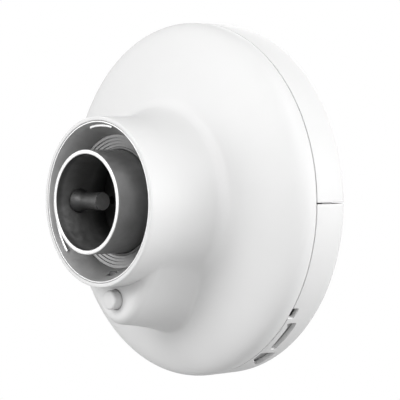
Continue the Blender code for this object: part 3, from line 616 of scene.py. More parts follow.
def surface(inset, front, back, cell):
    """The form's surface between two depths as points and four-sided faces, with its end rings on those depths.
    A grid cell that the surface crosses gets one point, and each grid edge that it crosses gets one face."""
    reach = DISC_R + 3 * cell
    across = np.arange(-reach, reach + cell, cell)
    layers = max(2, round((back - front) / cell))
    depths = front + (back - front) * np.arange(layers + 1) / layers
    grid = np.stack(np.meshgrid(across, depths, across, indexing="ij"), -1)
    value = shell_field(grid, inset)
    filled = value < 0
    size = np.array(filled.shape) - 1
    corners = sum(filled[i:size[0] + i, j:size[1] + j, k:size[2] + k].astype(int)
                  for i, j, k in itertools.product((0, 1), repeat=3))
    active = (corners > 0) & (corners < 8)
    number = np.full(active.shape, -1)
    number[active] = np.arange(active.sum())
    corner = np.argwhere(active)
    points = edge_average(grid, value, corner)
    layer = corner[:, 1]
    first, last = layer == 0, layer == layers - 1
    inner = ~(first | last)
    points[inner] = settle(points[inner], inset)
    for ring, depth in ((first, front), (last, back)):
        points[ring, 1] = depth
        points[ring] = settle(points[ring], inset, (1, 0, 1))
    rings = [np.flatnonzero(ring)[np.argsort(np.arctan2(points[ring, 2], points[ring, 0]))] for ring in (first, last)]
    return points, crossing_faces(filled, number), rings


def edge_average(grid, value, corner):
    """For each crossed cell, the mean of the places where its twelve edges cross the surface."""
    total = np.zeros((len(corner), 3))
    count = np.zeros(len(corner))
    for axis, *shift in itertools.product(range(3), (0, 1), (0, 1)):
        start = corner.copy()
        start[:, [other for other in range(3) if other != axis]] += shift
        end = start.copy()
        end[:, axis] += 1
        s, e = tuple(start.T), tuple(end.T)
        f, g = value[s], value[e]
        crossed = (f < 0) != (g < 0)
        share = np.where(crossed, f / np.where(crossed, f - g, 1), 0)
        total += np.where(crossed[:, None], grid[s] + (grid[e] - grid[s]) * share[:, None], 0)
        count += crossed
    return total / count[:, None]


def crossing_faces(filled, number):
    """For each grid edge that crosses the surface, a face between the points of the four cells round it."""
    faces = []
    limit = np.array(number.shape)
    for axis in range(3):
        across = [other for other in range(3) if other != axis]
        crossed = np.argwhere(np.diff(filled, axis=axis))
        good = ((crossed[:, across] > 0) & (crossed[:, across] < limit[across])).all(axis=1)
        around = []
        for shift in ((-1, -1), (0, -1), (0, 0), (-1, 0)):
            place = crossed[good]
            place[:, across] += shift
            around.append(number[tuple(place.T)])
        faces.append(np.stack(around, -1))
    return np.concatenate(faces)


def next_ring(points, ring, radius, depth):
    """A ring with the same angles as a given one, at a radius and a depth, and the faces between the two."""
    angle = np.arctan2(points[ring, 2], points[ring, 0])
    fresh = np.stack([radius * np.cos(angle), np.full(len(ring), depth), radius * np.sin(angle)], -1)
    added = np.arange(len(points), len(points) + len(ring))
    faces = np.stack([ring, np.roll(ring, -1), np.roll(added, -1), added], -1)
    return np.concatenate([points, fresh]), added, faces


def zip_rings(points, one, other):
    """Triangles between two rings that hold different numbers of points, in step with their angles."""
    turn = [np.arctan2(points[r, 2], points[r, 0]) for r in (one, other)]
    turn = [np.append(t, t[0] + 2 * math.pi) for t in turn]
    faces, i, j = [], 0, 0
    while i < len(one) or j < len(other):
        a, b = one[i % len(one)], other[j % len(other)]
        ahead = j >= len(other) or (i < len(one) and turn[0][i + 1] <= turn[1][j + 1])
        if ahead:
            faces.append((a, one[(i + 1) % len(one)], b))
            i += 1
        else:
            faces.append((a, other[(j + 1) % len(other)], b))
            j += 1
    return faces


def make_front_shell(mats):
    """Dome, neck, collar lip and button pod in one thin wall."""
    lip, seam_edge = 0.8, 0.5
    points, faces, (front, back) = surface(0, COLLAR_FACE + lip, -GAP - seam_edge, 1.25)
    sheets = [faces]
    mouth = [(COLLAR_R - lip * (1 - math.cos(a)), COLLAR_FACE + lip * (1 - math.sin(a)))
             for a in (math.radians(22.5 * k) for k in range(1, 5))]
    mouth += [(NECK_BORE_R + 0.25, COLLAR_FACE), (NECK_BORE_R + 0.08, COLLAR_FACE + 0.08),
              (NECK_BORE_R, COLLAR_FACE + 0.25)]
    for radius, depth in mouth:
        points, front, band = next_ring(points, front, radius, depth)
        sheets.append(band)
    for radius, depth in ((DISC_R - 0.12, -GAP - 0.15), (DISC_R - seam_edge, -GAP)):
        points, back, band = next_ring(points, back, radius, depth)
        sheets.append(band)
    inner, inner_faces, (inner_front, inner_back) = surface(WALL, COLLAR_FACE + 5, -GAP, 2.5)
    shift = len(points)
    points = np.concatenate([points, inner])
    bm = bmesh.new()
    verts = [bm.verts.new(p) for p in points]
    rows = [row for sheet in [*sheets, inner_faces + shift] for row in sheet.tolist()]
    rows += zip_rings(points, front, inner_front + shift) + zip_rings(points, back, inner_back + shift)
    for row in rows:
        bm.faces.new([verts[i] for i in row])
    shell = to_object("front_shell_skin", bm, mats["white"], 40)
    bore = moved(rod(BUTTON_R + 0.5, POD_FACE - 12, POD_FACE + WALL + 2), z=BUTTON_Z)
    leg_slot = box(inside(LEG_X, -0.4), inside(LEG_DEPTH, -0.6), (-58, -47))
    cut(shell, joined(bore, leg_slot), sharp=40)
    return stand_for(shell, "white_shell", "front_shell")


# ---------------------------------------------------------------- waveguide port

def funnel_radius(depth):
    share = (depth - FUNNEL_FACE) / (FUNNEL_END - FUNNEL_FACE)
    return FUNNEL_R + (FUNNEL_END_R - FUNNEL_R) * share


def make_bayonet_ring(mats):
    """The funnel inside the collar, with three twist-lock lugs and the latch's window."""
    wall, skirt_r, skirt_end = 1.8, NECK_BORE_R - GAP, -71.5
    outline = rounded([(FUNNEL_R, FUNNEL_FACE, 0.12), (skirt_r, FUNNEL_FACE, 0.1), (skirt_r, skirt_end, 0.2),
                       (funnel_radius(skirt_end) + wall, skirt_end), (FUNNEL_END_R + wall, FUNNEL_END),
                       (FUNNEL_END_R, FUNNEL_END, 0.15)])
    ring = to_object("bayonet_funnel", turned(outline), [mats["funnel"], mats["machined"]])
    lug = rounded([(LUG_R, LUG_DEPTH - 1.2, 0.5), (49, LUG_DEPTH - 1.2), (48.2, LUG_DEPTH + 1.2),
                   (LUG_R, LUG_DEPTH + 1.2, 0.5)])
    lugs = [turned(lug, angle - LUG_HALF_ANGLE, angle + LUG_HALF_ANGLE, 32) for angle in LUG_ANGLES]
    cut(ring, joined(*lugs), operation="UNION")
    window = box((0.6, 7.4), (LATCH_DEPTH - 2.3, LATCH_DEPTH + 2.3), (-52, -40))
    cut(ring, window)

    # Faces that look to the front take the lighter metal: machined faces, also a painted highlight where the front
    # lamps catch them.
    def bright(face, x, depth, z, radius):
        on_lug = radius < funnel_radius(depth) - 0.3 and depth < LUG_DEPTH + 0.5
        return face.normal.y < -0.5 and (on_lug or depth < FUNNEL_FACE + 0.1)

    repaint(ring, 1, bright)
    return stand_for(ring, "plated_casting", "bayonet_ring")


def make_choke_ring(mats):
    """Steps down to the guide's root, with a groove for the seal."""
    face, groove_r = FUNNEL_END + GAP, 34.2
    steps = []
    for i in range(CHOKE_STEPS):
        radius, depth = FUNNEL_END_R - i * CHOKE_STEP_R, face + i * CHOKE_STEP_DEPTH
        steps += [(radius, depth, 0.12 if i else 0), (radius - CHOKE_STEP_R, depth, 0.15)]
    bore = GUIDE_R + GUIDE_WALL + GAP
    steps[-1] = (groove_r, steps[-1][1], 0.15)
    outline = rounded([(FLANGE_R, face), *steps[1:], (groove_r, -58.2), (bore, -58.2),
                       (bore, FLANGE_FACE - GAP), (FLANGE_R, FLANGE_FACE - GAP)], 3)
    # The steps take a darker metal: painted shade for the depth of the cavity.
    return stand_for(to_object("choke_steps", turned(outline), mats["steps"]), "plated_casting", "choke_ring")


def make_port_seal(mats):
    section = circle(0.75, 16, (33.4, -59.05))
    return stand_for(to_object("port_o_ring", turned(section), mats["rubber"]), "seal_rubber", "port_seal")


def make_waveguide(mats):
    """The round guide: satin plated walls with painted light and shade in the bore, and a bright machined rim that
    also carries a painted highlight.
    """
    outer, lip = GUIDE_R + GUIDE_WALL, 0.45
    outline = rounded([(GUIDE_R, GUIDE_FACE, lip), (outer, GUIDE_FACE, lip), (outer, FLANGE_FACE, 0.3),
                       (FLANGE_R, FLANGE_FACE, 0.2), (FLANGE_R, FLANGE_BACK, 0.2), (outer, FLANGE_BACK),
                       (outer, GUIDE_BACK, 0.2), (GUIDE_R, GUIDE_BACK)])
    guide = to_object("guide_tube", turned(outline), [mats["guide"], mats["machined"], mats["bore"]])
    channel = box((-34, -31), (-72, -49.5), (-2.8, 2.8))
    side = moved(rod(3.3, -34, -28, "X"), depth=FRONT_PROBE_DEPTH)
    top = moved(rod(3.3, 28, 34, "Z"), depth=REAR_PROBE_DEPTH)
    relief = box((-3.3, 3.3), (REAR_PROBE_DEPTH, -45), (28, 34))
    cut(guide, channel, side, top, relief)
    # The bore's walls take the plating with the painted highlight band and painted shade.
    repaint(guide, 2, lambda face, x, depth, z, radius: radius < GUIDE_R + 0.2)
    # The rim takes the lighter machined metal, which is also a painted highlight.
    repaint(guide, 1, lambda face, x, depth, z, radius: depth < GUIDE_FACE + lip)
    return stand_for(guide, "plated_casting", "waveguide_tube")


def make_backshort(mats):
    plug_r = GUIDE_R - GAP
    outline = rounded([(0, SHORT_FACE), (plug_r, SHORT_FACE, 0.3), (plug_r, GUIDE_BACK + GAP), (35, GUIDE_BACK + GAP),
                       (35, GUIDE_BACK + 2.8), (0, GUIDE_BACK + 2.8)])
    # The short takes the bore's plating, where its painted shade is deepest.
    plate = to_object("short_plate", turned(outline), mats["bore"])
    hole = moved(rod(2.8, SHORT_FACE - 1, GUIDE_BACK + 4), x=-21)
    cut(plate, hole, box((-3.6, 3.6), (SHORT_FACE - 1, GUIDE_BACK + 0.1), (26, 36)))
    return stand_for(plate, "plated_casting", "backshort_plate")


def make_probes(mats):
    """Two crossed feed probes. Each is a pin through an insulated hole that carries a thicker stub inside."""
    pin_r = 1.4
    stub = rounded([(0, -31), (pin_r, -31, 0.2), (pin_r, -28.6), (8, -28.6, 0.3), (5.2, -22, 9),
                    (5.2, -15, 8), (5.9, -5.5, 0.4), (5.5, -5.2, 0.2), (0, -5.2)], 8)
    front = to_object("front_probe_stub", moved(turned(stub, segments=96, axis="X"), depth=FRONT_PROBE_DEPTH),
                      [mats["probe"], mats["cast"]])
    # The stub's body is darkened as painted shade; its end face keeps the plain plating.
    repaint(front, 1, lambda face, *place: face.normal.x > 0.9)
    stand_for(front, "plated_casting", "front_probe")
    rear = rounded([(0, 12), (1.6, 12, 0.5), (1.6, 28.6, 0.2), (0.9, 28.6), (0.9, 34, 0.2), (0, 34)])
    pin = moved(turned(rear, segments=64, axis="Z"), depth=REAR_PROBE_DEPTH)
    pin = to_object("rear_probe_pin", pin, mats["cast"])
    stand_for(pin, "plated_casting", "rear_probe")


# ---------------------------------------------------------------- release button and latch

def make_button(mats):
    """A round button with a barely crowned face, on a stem with a spring seat."""
    shoulder = POD_FACE + 2.5 + GAP
    outline = rounded([(0, BUTTON_FACE), (2.5, BUTTON_FACE, 8), (BUTTON_R, BUTTON_FACE + 0.35, 1.5),
                       (BUTTON_R, shoulder), (7.4, shoulder, 0.2), (7.4, shoulder + 1.5, 0.2), (3, shoulder + 1.5),
                       (3, -38, 0.3), (0, -38)], 6)
    button = to_object("button_cap", moved(turned(outline, segments=96), z=BUTTON_Z), mats["button"])
    cut(button, moved(rod(1.3, -6, 6, "X"), depth=PIN_DEPTH, z=BUTTON_Z))
    return stand_for(button, "button_white", "release_button", body="button")


def make_latch(mats):
    """The tooth that locks the antenna's ring, on its arm, with the leg whose slanted slot the pin drives."""
    corners = [(-70.5, -47.6), (-70.5, -46.6), (-68.4, -46.2), (-68, -43.3), (-66.6, -43.3), (-66.6, -46),
               (-40, -46), (-40, -47.6)]
    tooth = rounded([(*corner, 0.3) for corner in corners], 3)
    # The tooth takes the black plastic, which stands in for the shade in the funnel's window round it: painted shade.
    latch = to_object("latch_tooth", prism(tooth, 1, 7, "X"), mats["black"])
    soften(latch, 0.25, 2, 60)
    cut(latch, box(LEG_X, LEG_DEPTH, (-66, -46.05)), operation="UNION")
    half = 1.3
    run = Vector((BUTTON_TRAVEL, BUTTON_TRAVEL * LATCH_RATIO))
    across = Vector((-LATCH_RATIO, 1)).normalized() * half
    ends = [moved(rod(half, 5, 9, "X", 24), depth=PIN_DEPTH + k * run.x, z=BUTTON_Z + k * run.y) for k in (0, 1)]
    slot = [(PIN_DEPTH + p.x, BUTTON_Z + p.y) for p in (across, across + run, run - across, -across)]
    cut(latch, *ends, prism(slot, 5, 9, "X"))
    return stand_for(latch, "black_plastic", "latch_slider", body="latch")


def coil(length, radius, wire, turns, axis="Y"):
    """A helical wire spring from the origin along an axis, with turns that lie flatter at its ends."""
    bm = bmesh.new()
    steps, around, rings = 30 * turns, 10, []
    place = {"Y": lambda v: (v.x, v.y, v.z), "Z": lambda v: (v.x, v.z, v.y)}[axis]

    def point(share):
        angle = 2 * math.pi * turns * share
        rise = share - math.sin(4 * math.pi * share) / (4 * math.pi * turns)
        return Vector((radius * math.cos(angle), length * rise, radius * math.sin(angle)))

    for i in range(steps + 1):
        here = point(i / steps)
        tangent = (point((i + 0.5) / steps) - point((i - 0.5) / steps)).normalized()
        outward = Vector((here.x, 0, here.z)).normalized()
        across = tangent.cross(outward)
        rings.append([bm.verts.new(place(here + (outward * math.cos(a) + across * math.sin(a)) * wire))
                      for a in (2 * math.pi * k / around for k in range(around))])
    bridge(bm, rings)
    bm.faces.new(rings[0])
    bm.faces.new(rings[-1])
    bmesh.ops.recalc_face_normals(bm, faces=bm.faces)
    return bm


def make_springs(mats):
    """The button's and the latch's return springs."""
    start, length = -57.8, 8.6
    spring = to_object("cap_spring", moved(coil(length, 4.4, 0.4, 5), depth=start, z=BUTTON_Z), mats["steel"])
    stand_for(spring, "screw_steel", "button_spring")
    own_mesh(spring)
    low, length = -72.7, 6.4
    spring = to_object("tooth_spring", moved(coil(length, 1.7, 0.3, 4, "Z"), SPRING_X, PIN_DEPTH, low), mats["steel"])
    stand_for(spring, "screw_steel", "latch_spring")
    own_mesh(spring)


# ---------------------------------------------------------------- rear covers

def cover_outline():
    """A rear cover's section: rim band, rounded edge, a low step round the hub, and the wall to the opening."""
    inner_r = DISC_R - BACK_WALL
    step_r, step = 56, 0.5
    return rounded([(inner_r, GAP), (DISC_R, GAP), (DISC_R, BACK_DEPTH, BACK_FILLET_R),
                    (step_r + step, BACK_DEPTH, 0.5), (step_r, BACK_DEPTH - step, 0.4),
                    (COVER_HOLE_R, BACK_DEPTH - step), (COVER_HOLE_R, BACK_DEPTH - BACK_WALL),
                    (inner_r, BACK_DEPTH - BACK_WALL, BACK_FILLET_R - BACK_WALL)], 8)


def countersunk(radius, low, high, chamfer, segments=48):
    """A hole's cutter along Y with a chamfer at the surface on its high side."""
    return turned([(0, low), (radius, low), (radius, high - chamfer), (radius + chamfer, high),
                   (radius + chamfer, high + 2), (0, high + 2)], segments=segments)


def make_upper_cover(mats):
    edge = 0.2
    cover = to_object("upper_cover", turned(cover_outline(), edge, 180 - edge, 180), mats["white"])
    soften(cover, 0.35, 3, 50)
    for x, z in COVER_SCREWS:
        seat = countersunk(4, BACK_DEPTH - 1.3, BACK_DEPTH, 0.3)
        cut(cover, moved(rod(1.9, 20, 30), x=x, z=z), moved(seat, x=x, z=z))
    return stand_for(cover, "white_shell", "upper_rear_cover")


def wrapped(outline, levels, side, steps=6):
    """A cutter through the rim: an (angle below the horizontal, depth) outline wrapped round the disc.
    Levels are (radius, margin) pairs; a margin widens the outline there, which chamfers the opening."""
    centre = Vector((sum(a for a, _ in outline), sum(d for _, d in outline))) / len(outline)
    points = []
    for (a, d), (b, e) in zip(outline, [*outline[1:], outline[0]]):
        points += [(a + (b - a) * k / steps, d + (e - d) * k / steps) for k in range(steps)]
    bm = bmesh.new()
    rings = []
    for radius, margin in levels:
        ring = []
        for a, d in points:
            out = Vector(((a - centre.x) * math.radians(1) * DISC_R, d - centre.y))
            out = out.normalized() * margin
            angle = -math.radians(a) - out.x / DISC_R
            ring.append(bm.verts.new((side * radius * math.cos(angle), d + out.y, radius * math.sin(angle))))
        rings.append(ring)
    bridge(bm, rings)
    for ring in (rings[0], rings[-1]):
        middle = bm.verts.new(sum((v.co for v in ring), Vector()) / len(ring))
        for j in range(len(points)):
            bm.faces.new((ring[j], ring[(j + 1) % len(points)], middle))
    return bm


# Angles and depths of the floors set back inside the grip and the cable outlet
RIM_WELLS = [(40.3, 54.8, 3.5, 11.8), (55.4, 68.5, 7.6, 16.8)]


def rim_openings():
    """The three openings low on each side of the rim, as (angle, depth) outlines with rounded corners."""
    def soft(corners):
        arc = math.radians(1) * DISC_R
        return [(a / arc, d) for a, d in rounded([(a * arc, d, r) for a, d, r in corners], 3)]

    notch = soft([(34.6, 0.1, 0.3), (34.6, 5.2, 1.2), (38.6, 4.6, 0.8), (38.2, 0.1, 0.3)])
    grip = soft([(40.9, 2.1, 0.6), (40.9, 10.6, 0.8), (42.4, 11.0, 0.6), (54.2, 11.2, 0.8), (54.0, 7.8, 0.6),
                 (52.2, 5.6, 0.6), (42.9, 5.1, 0.6), (42.0, 4.4, 0.6)])
    outlet = soft([(56.2, 2.2, 0.6), (56.8, 15.8, 0.6), (67.4, 16.2, 0.8), (60.6, 3.5, 0.8)])
    return notch, grip, outlet


def make_port_cover(mats):
    """The lower rear cover, with its rim openings, guide tongues, catch window and lens opening."""
    edge = 0.2
    cover = to_object("lower_cover", turned(cover_outline(), 180 + edge, 360 - edge, 180),
                      [mats["white"], mats["well"]])
    soften(cover, 0.35, 3, 50)
    chamfer = [(DISC_R - 7, 0), (DISC_R - 0.7, 0), (DISC_R + 0.1, 0.6), (DISC_R + 2, 0.6)]
    for side in (1, -1):
        for outline in rim_openings():
            cut(cover, wrapped(outline, chamfer, side))
        for start, end, front, back in RIM_WELLS:
            section = [(109.4, front), (110.8, front), (110.8, back), (111.8, back), (111.8, back + 1.2),
                       (109.4, back + 1.2)]
            turns = (-end, -start) if side > 0 else (180 + start, 180 + end)
            cut(cover, turned(section, *turns, 24), operation="UNION")
    # The floors inside the openings get the grey material: painted shade in the recesses.
    repaint(cover, 1, lambda face, x, depth, z, radius: 109 < radius < 111.1 and 3 < depth < 18.4)
    for x, z in ((CATCH_X, CATCH_Z), (LENS_X, LENS_Z)):
        cut(cover, box(x, (BACK_DEPTH - 4, BACK_DEPTH + 1), z))
    tongue = [(108.2, -12), (112.5, -12), (112.5, -3), (110.5, -3), (110.5, 6), (108.2, 6)]
    for side in (-1, 1):
        cut(cover, prism([(side * x, z) for x, z in tongue], 8, 16), operation="UNION")
    return stand_for(cover, "white_shell", "port_cover", body="port_cover")


def make_status_lens(mats):
    lens = box(inside(LENS_X), (BACK_DEPTH - 3, BACK_DEPTH + 0.2), inside(LENS_Z))
    lens = to_object("lens_window", lens, mats["clear"])
    soften(lens, 0.4, 3)
    return stand_for(lens, "light_pipe", "status_lens", body="port_cover")


def make_cover_catch(mats):
    """A spring tab in the cover's back, with three grip ridges."""
    low, high = inside(CATCH_Z, CATCH_GAP)
    tab = [(BACK_DEPTH - 2.2, low), (BACK_DEPTH, low), (BACK_DEPTH + 1.4, -88)]
    for z in (-87.2, -85.4, -83.6):
        tab += [(BACK_DEPTH + 1.4, z), (BACK_DEPTH + 0.8, z + 0.3), (BACK_DEPTH + 0.8, z + 0.9),
                (BACK_DEPTH + 1.4, z + 1.2)]
    tab += [(BACK_DEPTH, high), (BACK_DEPTH - 2.2, high)]
    catch = to_object("catch_tab", prism(tab, *inside(CATCH_X, CATCH_GAP), "X"), mats["button"])
    soften(catch, 0.25, 2, 30)
    return stand_for(catch, "button_white", "cover_catch", body="catch")


def make_mount_block(mats):
    front = BACK_DEPTH
    outline = rounded([(0, front), (MOUNT_R, front, 0.6), (MOUNT_R, MOUNT_FACE, 1.5), (0, MOUNT_FACE)], 6)
    block = to_object("mount_plate", turned(outline), mats["aluminium"])
    studs = (-25, 0), (25, 0), (0, -25), (0, 25)
    cut(block, at_places(lambda: rod(3.3, front - 1, MOUNT_FACE + 1), MOUNT_BOLTS),
        at_places(lambda: countersunk(5.4, MOUNT_FACE - 3.4, MOUNT_FACE, 0.4), MOUNT_BOLTS),
        at_places(lambda: countersunk(2.65, MOUNT_FACE - 4, MOUNT_FACE, 0.4), studs))
    return stand_for(block, "cast_aluminium", "mount_block")


# ---------------------------------------------------------------- chassis, boards and ports

def make_chassis(mats):
    """The cast tray: a ribbed back, a hub for the mount and posts for the boards and the cover."""
    rim_r, chassis_r, face, hub_r, hub_bore, hub_end = 108.6, 110.5, 0.6, 42, 34, BACK_DEPTH - GAP
    back = CHASSIS_BACK
    outline = rounded([(0, face), (rim_r, face, 0.3), (rim_r, -3, 0.3), (chassis_r, -3, 0.3), (chassis_r, back, 0.5),
                       (hub_r, back, 1.5), (hub_r, hub_end, 0.5), (hub_bore, hub_end, 0.5), (hub_bore, back, 1.0),
                       (0, back)])
    chassis = to_object("chassis_tray", turned(outline), mats["aluminium"])
    ribs = [turn_about_port(box((hub_r - 1, 104), (back - 1, back + 1.3), (-0.8, 0.8)), -angle)
            for angle in (0, 15, 45, 60, 75, 105, 120, 135, 165, 180, 195, 345)]
    ring = turned([(75.2, back - 1), (76.8, back - 1), (76.8, back + 1.3), (75.2, back + 1.3)], -20, 200)
    for rib in ribs:
        cut(chassis, rib, operation="UNION")
    cut(chassis, ring, operation="UNION")
    posts = joined(at_places(lambda: rod(3.2, BOARD_FACE + BOARD_T + GAP, 2), BOARD_POSTS),
                   at_places(lambda: rod(3.4, 2, PORT_BOARD_FACE - GAP, edge=0.2), PORT_SCREWS),
                   at_places(lambda: rod(5, 2, BACK_DEPTH - BACK_WALL - GAP, edge=0.4), COVER_SCREWS))
    cut(chassis, posts, operation="UNION")
    cut(chassis, at_places(lambda: countersunk(1.9, -1, back, 0.3, 24), SHELL_SCREWS),
        at_places(lambda: rod(1.5, -8, -0.5, segments=24), BOARD_POSTS),
        at_places(lambda: rod(1.5, 3.5, 6, segments=24), PORT_SCREWS),
        at_places(lambda: rod(1.8, 10, 26, segments=24), COVER_SCREWS),
        at_places(lambda: rod(3.3, 14, 28, segments=32), MOUNT_BOLTS),
        joined(box((-14, 14), (-1, 4), (-55, -48)), moved(rod(4.4, -1, 4), **VENT_AT),
               moved(rod(2.1, -1, 4), **GROUND_AT)))
    return stand_for(chassis, "cast_aluminium", "rear_chassis")


def soft_boxes(name, mat, boxes, edge=0.12):
    """Small moulded or ceramic blocks in one piece; each box is (x, z, width, height, low depth, rise)."""
    blocks = [box((x - w / 2, x + w / 2), (low, low + rise), (z - h / 2, z + h / 2))
              for x, z, w, h, low, rise in boxes]
    made = to_object(name, joined(*blocks), mat)
    soften(made, edge, 2)
    return made


def make_port_board(mats):
    """The small board behind the chassis, with its transformer, filters, chips and pads."""
    low = [(-37, -72), (37, -72), (37, -58), (24, -46), (-24, -46), (-37, -58)]
    board = to_object("ports_board", prism(rounded([(*c, 0.8) for c in low]), PORT_BOARD_FACE, PORT_BOARD_TOP),
                      mats["board"])
    cut(board, at_places(lambda: rod(1.7, 4, 8), PORT_SCREWS))
    stand_for(board, "circuit_board", "port_board")
    top = PORT_BOARD_TOP
    chips = soft_boxes("port_chips", mats["black"],
                       [(-17.5, -53.5, 10, 7, top, 4.6), (15.5, -52, 6, 5, top, 1.4), (27.5, -60, 4, 4, top, 1.0),
                        (-30.5, -59.5, 5, 3.4, top, 1.8), (27.5, -66.5, 3, 2, top, 1.1),
                        (11.6, -69.5, 2.4, 1.6, top, 0.9)])
    stand_for(chips, "black_plastic")
    spots = [(11.5 + 2.4 * k, -57.5) for k in range(5)] + [(-11.2 - 2.4 * k, -59.5) for k in range(6)]
    spots += [(25, -63.6 - 2.0 * k) for k in range(3)] + [(-27.5, -63 - 2.0 * k) for k in range(4)]
    spots += [(-12, -63 - 2.2 * k) for k in range(3)] + [(12.5, -61.5 - 2.2 * k) for k in range(3)]
    bodies = soft_boxes("port_ceramics", mats["ptfe"], [(x, z, 0.9, 0.8, top, 0.55) for x, z in spots], 0.06)
    stand_for(bodies, "insulator")
    pins = [(x + side * 0.62, z, 0.36, 0.84, top, 0.6) for x, z in spots for side in (-1, 1)]
    pins += [(-21.6 + 1.37 * k, -53.5 + side * 4.1, 0.5, 1.4, top, 0.5) for k in range(7) for side in (-1, 1)]
    pins += [(13.4 + 1.05 * k, -52 + side * 2.9, 0.4, 1.0, top, 0.35) for k in range(5) for side in (-1, 1)]
    pins += [(20 + side * 3.5, -63 + 1.8 * row, 1.0, 1.0, top, 0.3) for side in (-1, 1) for row in (-1, 1)]
    pins = soft_boxes("port_solder", mats["steel"], pins, 0.06)
    stand_for(pins, "screw_steel")
    rings = at_places(lambda: rod(3.3, top, top + 0.06, bore=1.8), PORT_SCREWS)
    stand_for(to_object("port_pads", rings, mats["brass"]), "brass")


def make_jack(mats):
    """A shielded network jack: folded metal can, insulating throat, contact wires and spring fingers."""
    face = PORT_BOARD_TOP + GAP
    throat = [box((-5.9, 5.9), (face + 2.6, face + 10.4), (-73, -57)),
              box((-3.1, 3.1), (face + 9, face + 12.2), (-73, -57))]
    can = to_object("jack_can", box((-8.2, 8.2), (face, face + 13.4), (-71.5, -50.5)), mats["steel"])
    soften(can, 0.5, 3)
    cut(can, *throat)
    seams = [box(x, (face + 1.5, face + 12), (-62.2, -61.9)) for x in ((-8.4, -8.0), (8.0, 8.4))]
    seams += [box((-7, 7), (face + 13.2, face + 13.6), (-54.2, -53.9))]
    cut(can, joined(*seams))
    can.data.materials.append(mats["black"])
    repaint(can, 1, lambda _, x, depth, z, radius: abs(x) < 5.95 and face + 2.5 < depth < face + 12.3 and z > -71.3)
    stand_for(can, "screw_steel", "ethernet_jack")
    fingers = [box((x - 1.2, x + 1.2), (face + 13.3, face + 13.75), (-70, -62)) for x in (-4.6, 4.6)]
    fingers += [box((side * 8.35 - 0.2, side * 8.35 + 0.2), (face + 5, face + 8), (-70, -62.5)) for side in (-1, 1)]
    springs = to_object("jack_fingers", joined(*fingers), mats["steel"])
    soften(springs, 0.18, 2)
    stand_for(springs, "screw_steel")
    wire = [(face + 2.8, -70), (face + 3.1, -70), (face + 5.4, -58), (face + 5.1, -58)]
    wires = [prism(wire, x - 0.22, x + 0.22, "X") for x in (-3.57 + 1.02 * k for k in range(8))]
    stand_for(to_object("jack_contacts", joined(*wires), mats["brass"]), "brass")


def make_reset(mats):
    """The reset switch and its button."""
    face = PORT_BOARD_TOP + GAP
    switch = to_object("reset_housing", box((17, 23), (face, face + 3.8), (-66, -60)), mats["black"])
    soften(switch, 0.3, 2)
    cut(switch, moved(rod(2, face + 1, face + 6), **RESET_AT))
    stand_for(switch, "black_plastic", "reset_switch")
    plunger = rounded([(0, face + 2), (1.7, face + 2), (1.7, face + 6, 0.5), (0, face + 6)], 5)
    plunger = to_object("reset_cap", moved(turned(plunger), **RESET_AT), mats["button"])
    stand_for(plunger, "button_white", "reset_button", body="reset")


def make_status_light(mats):
    face = PORT_BOARD_TOP + GAP
    lamp = to_object("status_lamp", box((-24, -18), (face, face + 1.2), (-64, -61)), mats["clear"])
    soften(lamp, 0.35, 3)
    return stand_for(lamp, "light_pipe", "status_light")


def make_vent(mats):
    """The pressure vent: a mushroom cap with eight radial slots."""
    vent = turned(rounded([(0, 1.4), (4.1, 1.4, 0.2), (4.1, CHASSIS_BACK + GAP), (7, CHASSIS_BACK + GAP, 0.2),
                           (7, 6, 0.2), (6, 7, 0.3), (0, 7)]), segments=96)
    vent = to_object("vent_cap", moved(vent, **VENT_AT), mats["black"])
    slots = [moved(turn_about_port(box((2.4, 5.2), (6.3, 8), (-0.35, 0.35)), 45 * k), **VENT_AT) for k in range(8)]
    cut(vent, joined(*slots))
    return stand_for(vent, "black_plastic", "pressure_vent")


def make_ground_terminal(mats):
    """The earth screw and its toothed washer."""
    screw = screw_mesh("ground_terminal", 1.8, 4, 5.4, 7.8, 0.9, 2, mats["brass"])
    screw.location = (GROUND_AT["x"] * MM, 0, GROUND_AT["z"] * MM)
    stand_for(screw, "brass", "ground_screw")
    washer = rod(5, CHASSIS_BACK + GAP, 5.1, bore=2.1, edge=0.25)
    washer = to_object("ground_star", moved(washer, **GROUND_AT), mats["brass"])
    teeth = [moved(turn_about_port(box((4.2, 5.4), (3, 6), (-0.3, 0.3)), 30 * k), **GROUND_AT) for k in range(12)]
    cut(washer, joined(*teeth))
    stand_for(washer, "brass", "ground_washer")


def finish_hidden(mats):
    """The enclosed CAD parts keep their shapes and get their finishes."""
    finishes = {"perimeter_gasket": "rubber", "main_board": "board", "radio_chip": "black", "thermal_pad": "pad",
                "radio_shield": "steel", "processor_shield": "steel", "board_header": "black",
                "front_probe_bush": "ptfe", "rear_probe_bush": "ptfe", "feed_strip": "brass",
                "front_feed_cable": "black", "rear_feed_cable": "black", "cross_pin": "steel",
                "stem_guide": "black"}
    finishes.update({f"board_screw_{i}": "steel" for i in (1, 2, 3, 4)})
    for name, finish in finishes.items():
        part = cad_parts[name]
        for slot in part.material_slots:
            slot.material = mats[finish]


# ---------------------------------------------------------------- fasteners

def screw_mesh(name, shaft_r, head_r, head_low, head_high, tip, socket, mat):
    """A screw along Y at the axis: shaft to tip, domed head, hexagonal socket in its outer face."""
    toward = 1 if head_high > tip else -1
    inner, outer = (head_low, head_high) if toward > 0 else (head_high, head_low)
    edge = min(0.6, (head_high - head_low) * 0.35)
    outline = rounded([(0, tip), (shaft_r, tip, 0.3), (shaft_r, inner), (head_r, inner, 0.15), (head_r, outer, edge),
                       (0, outer)])
    made = to_object(name, turned(outline, segments=48), mat)
    cut(made, prism(circle(socket, 6), *sorted((outer - toward * 1.2, outer + toward))))
    return made


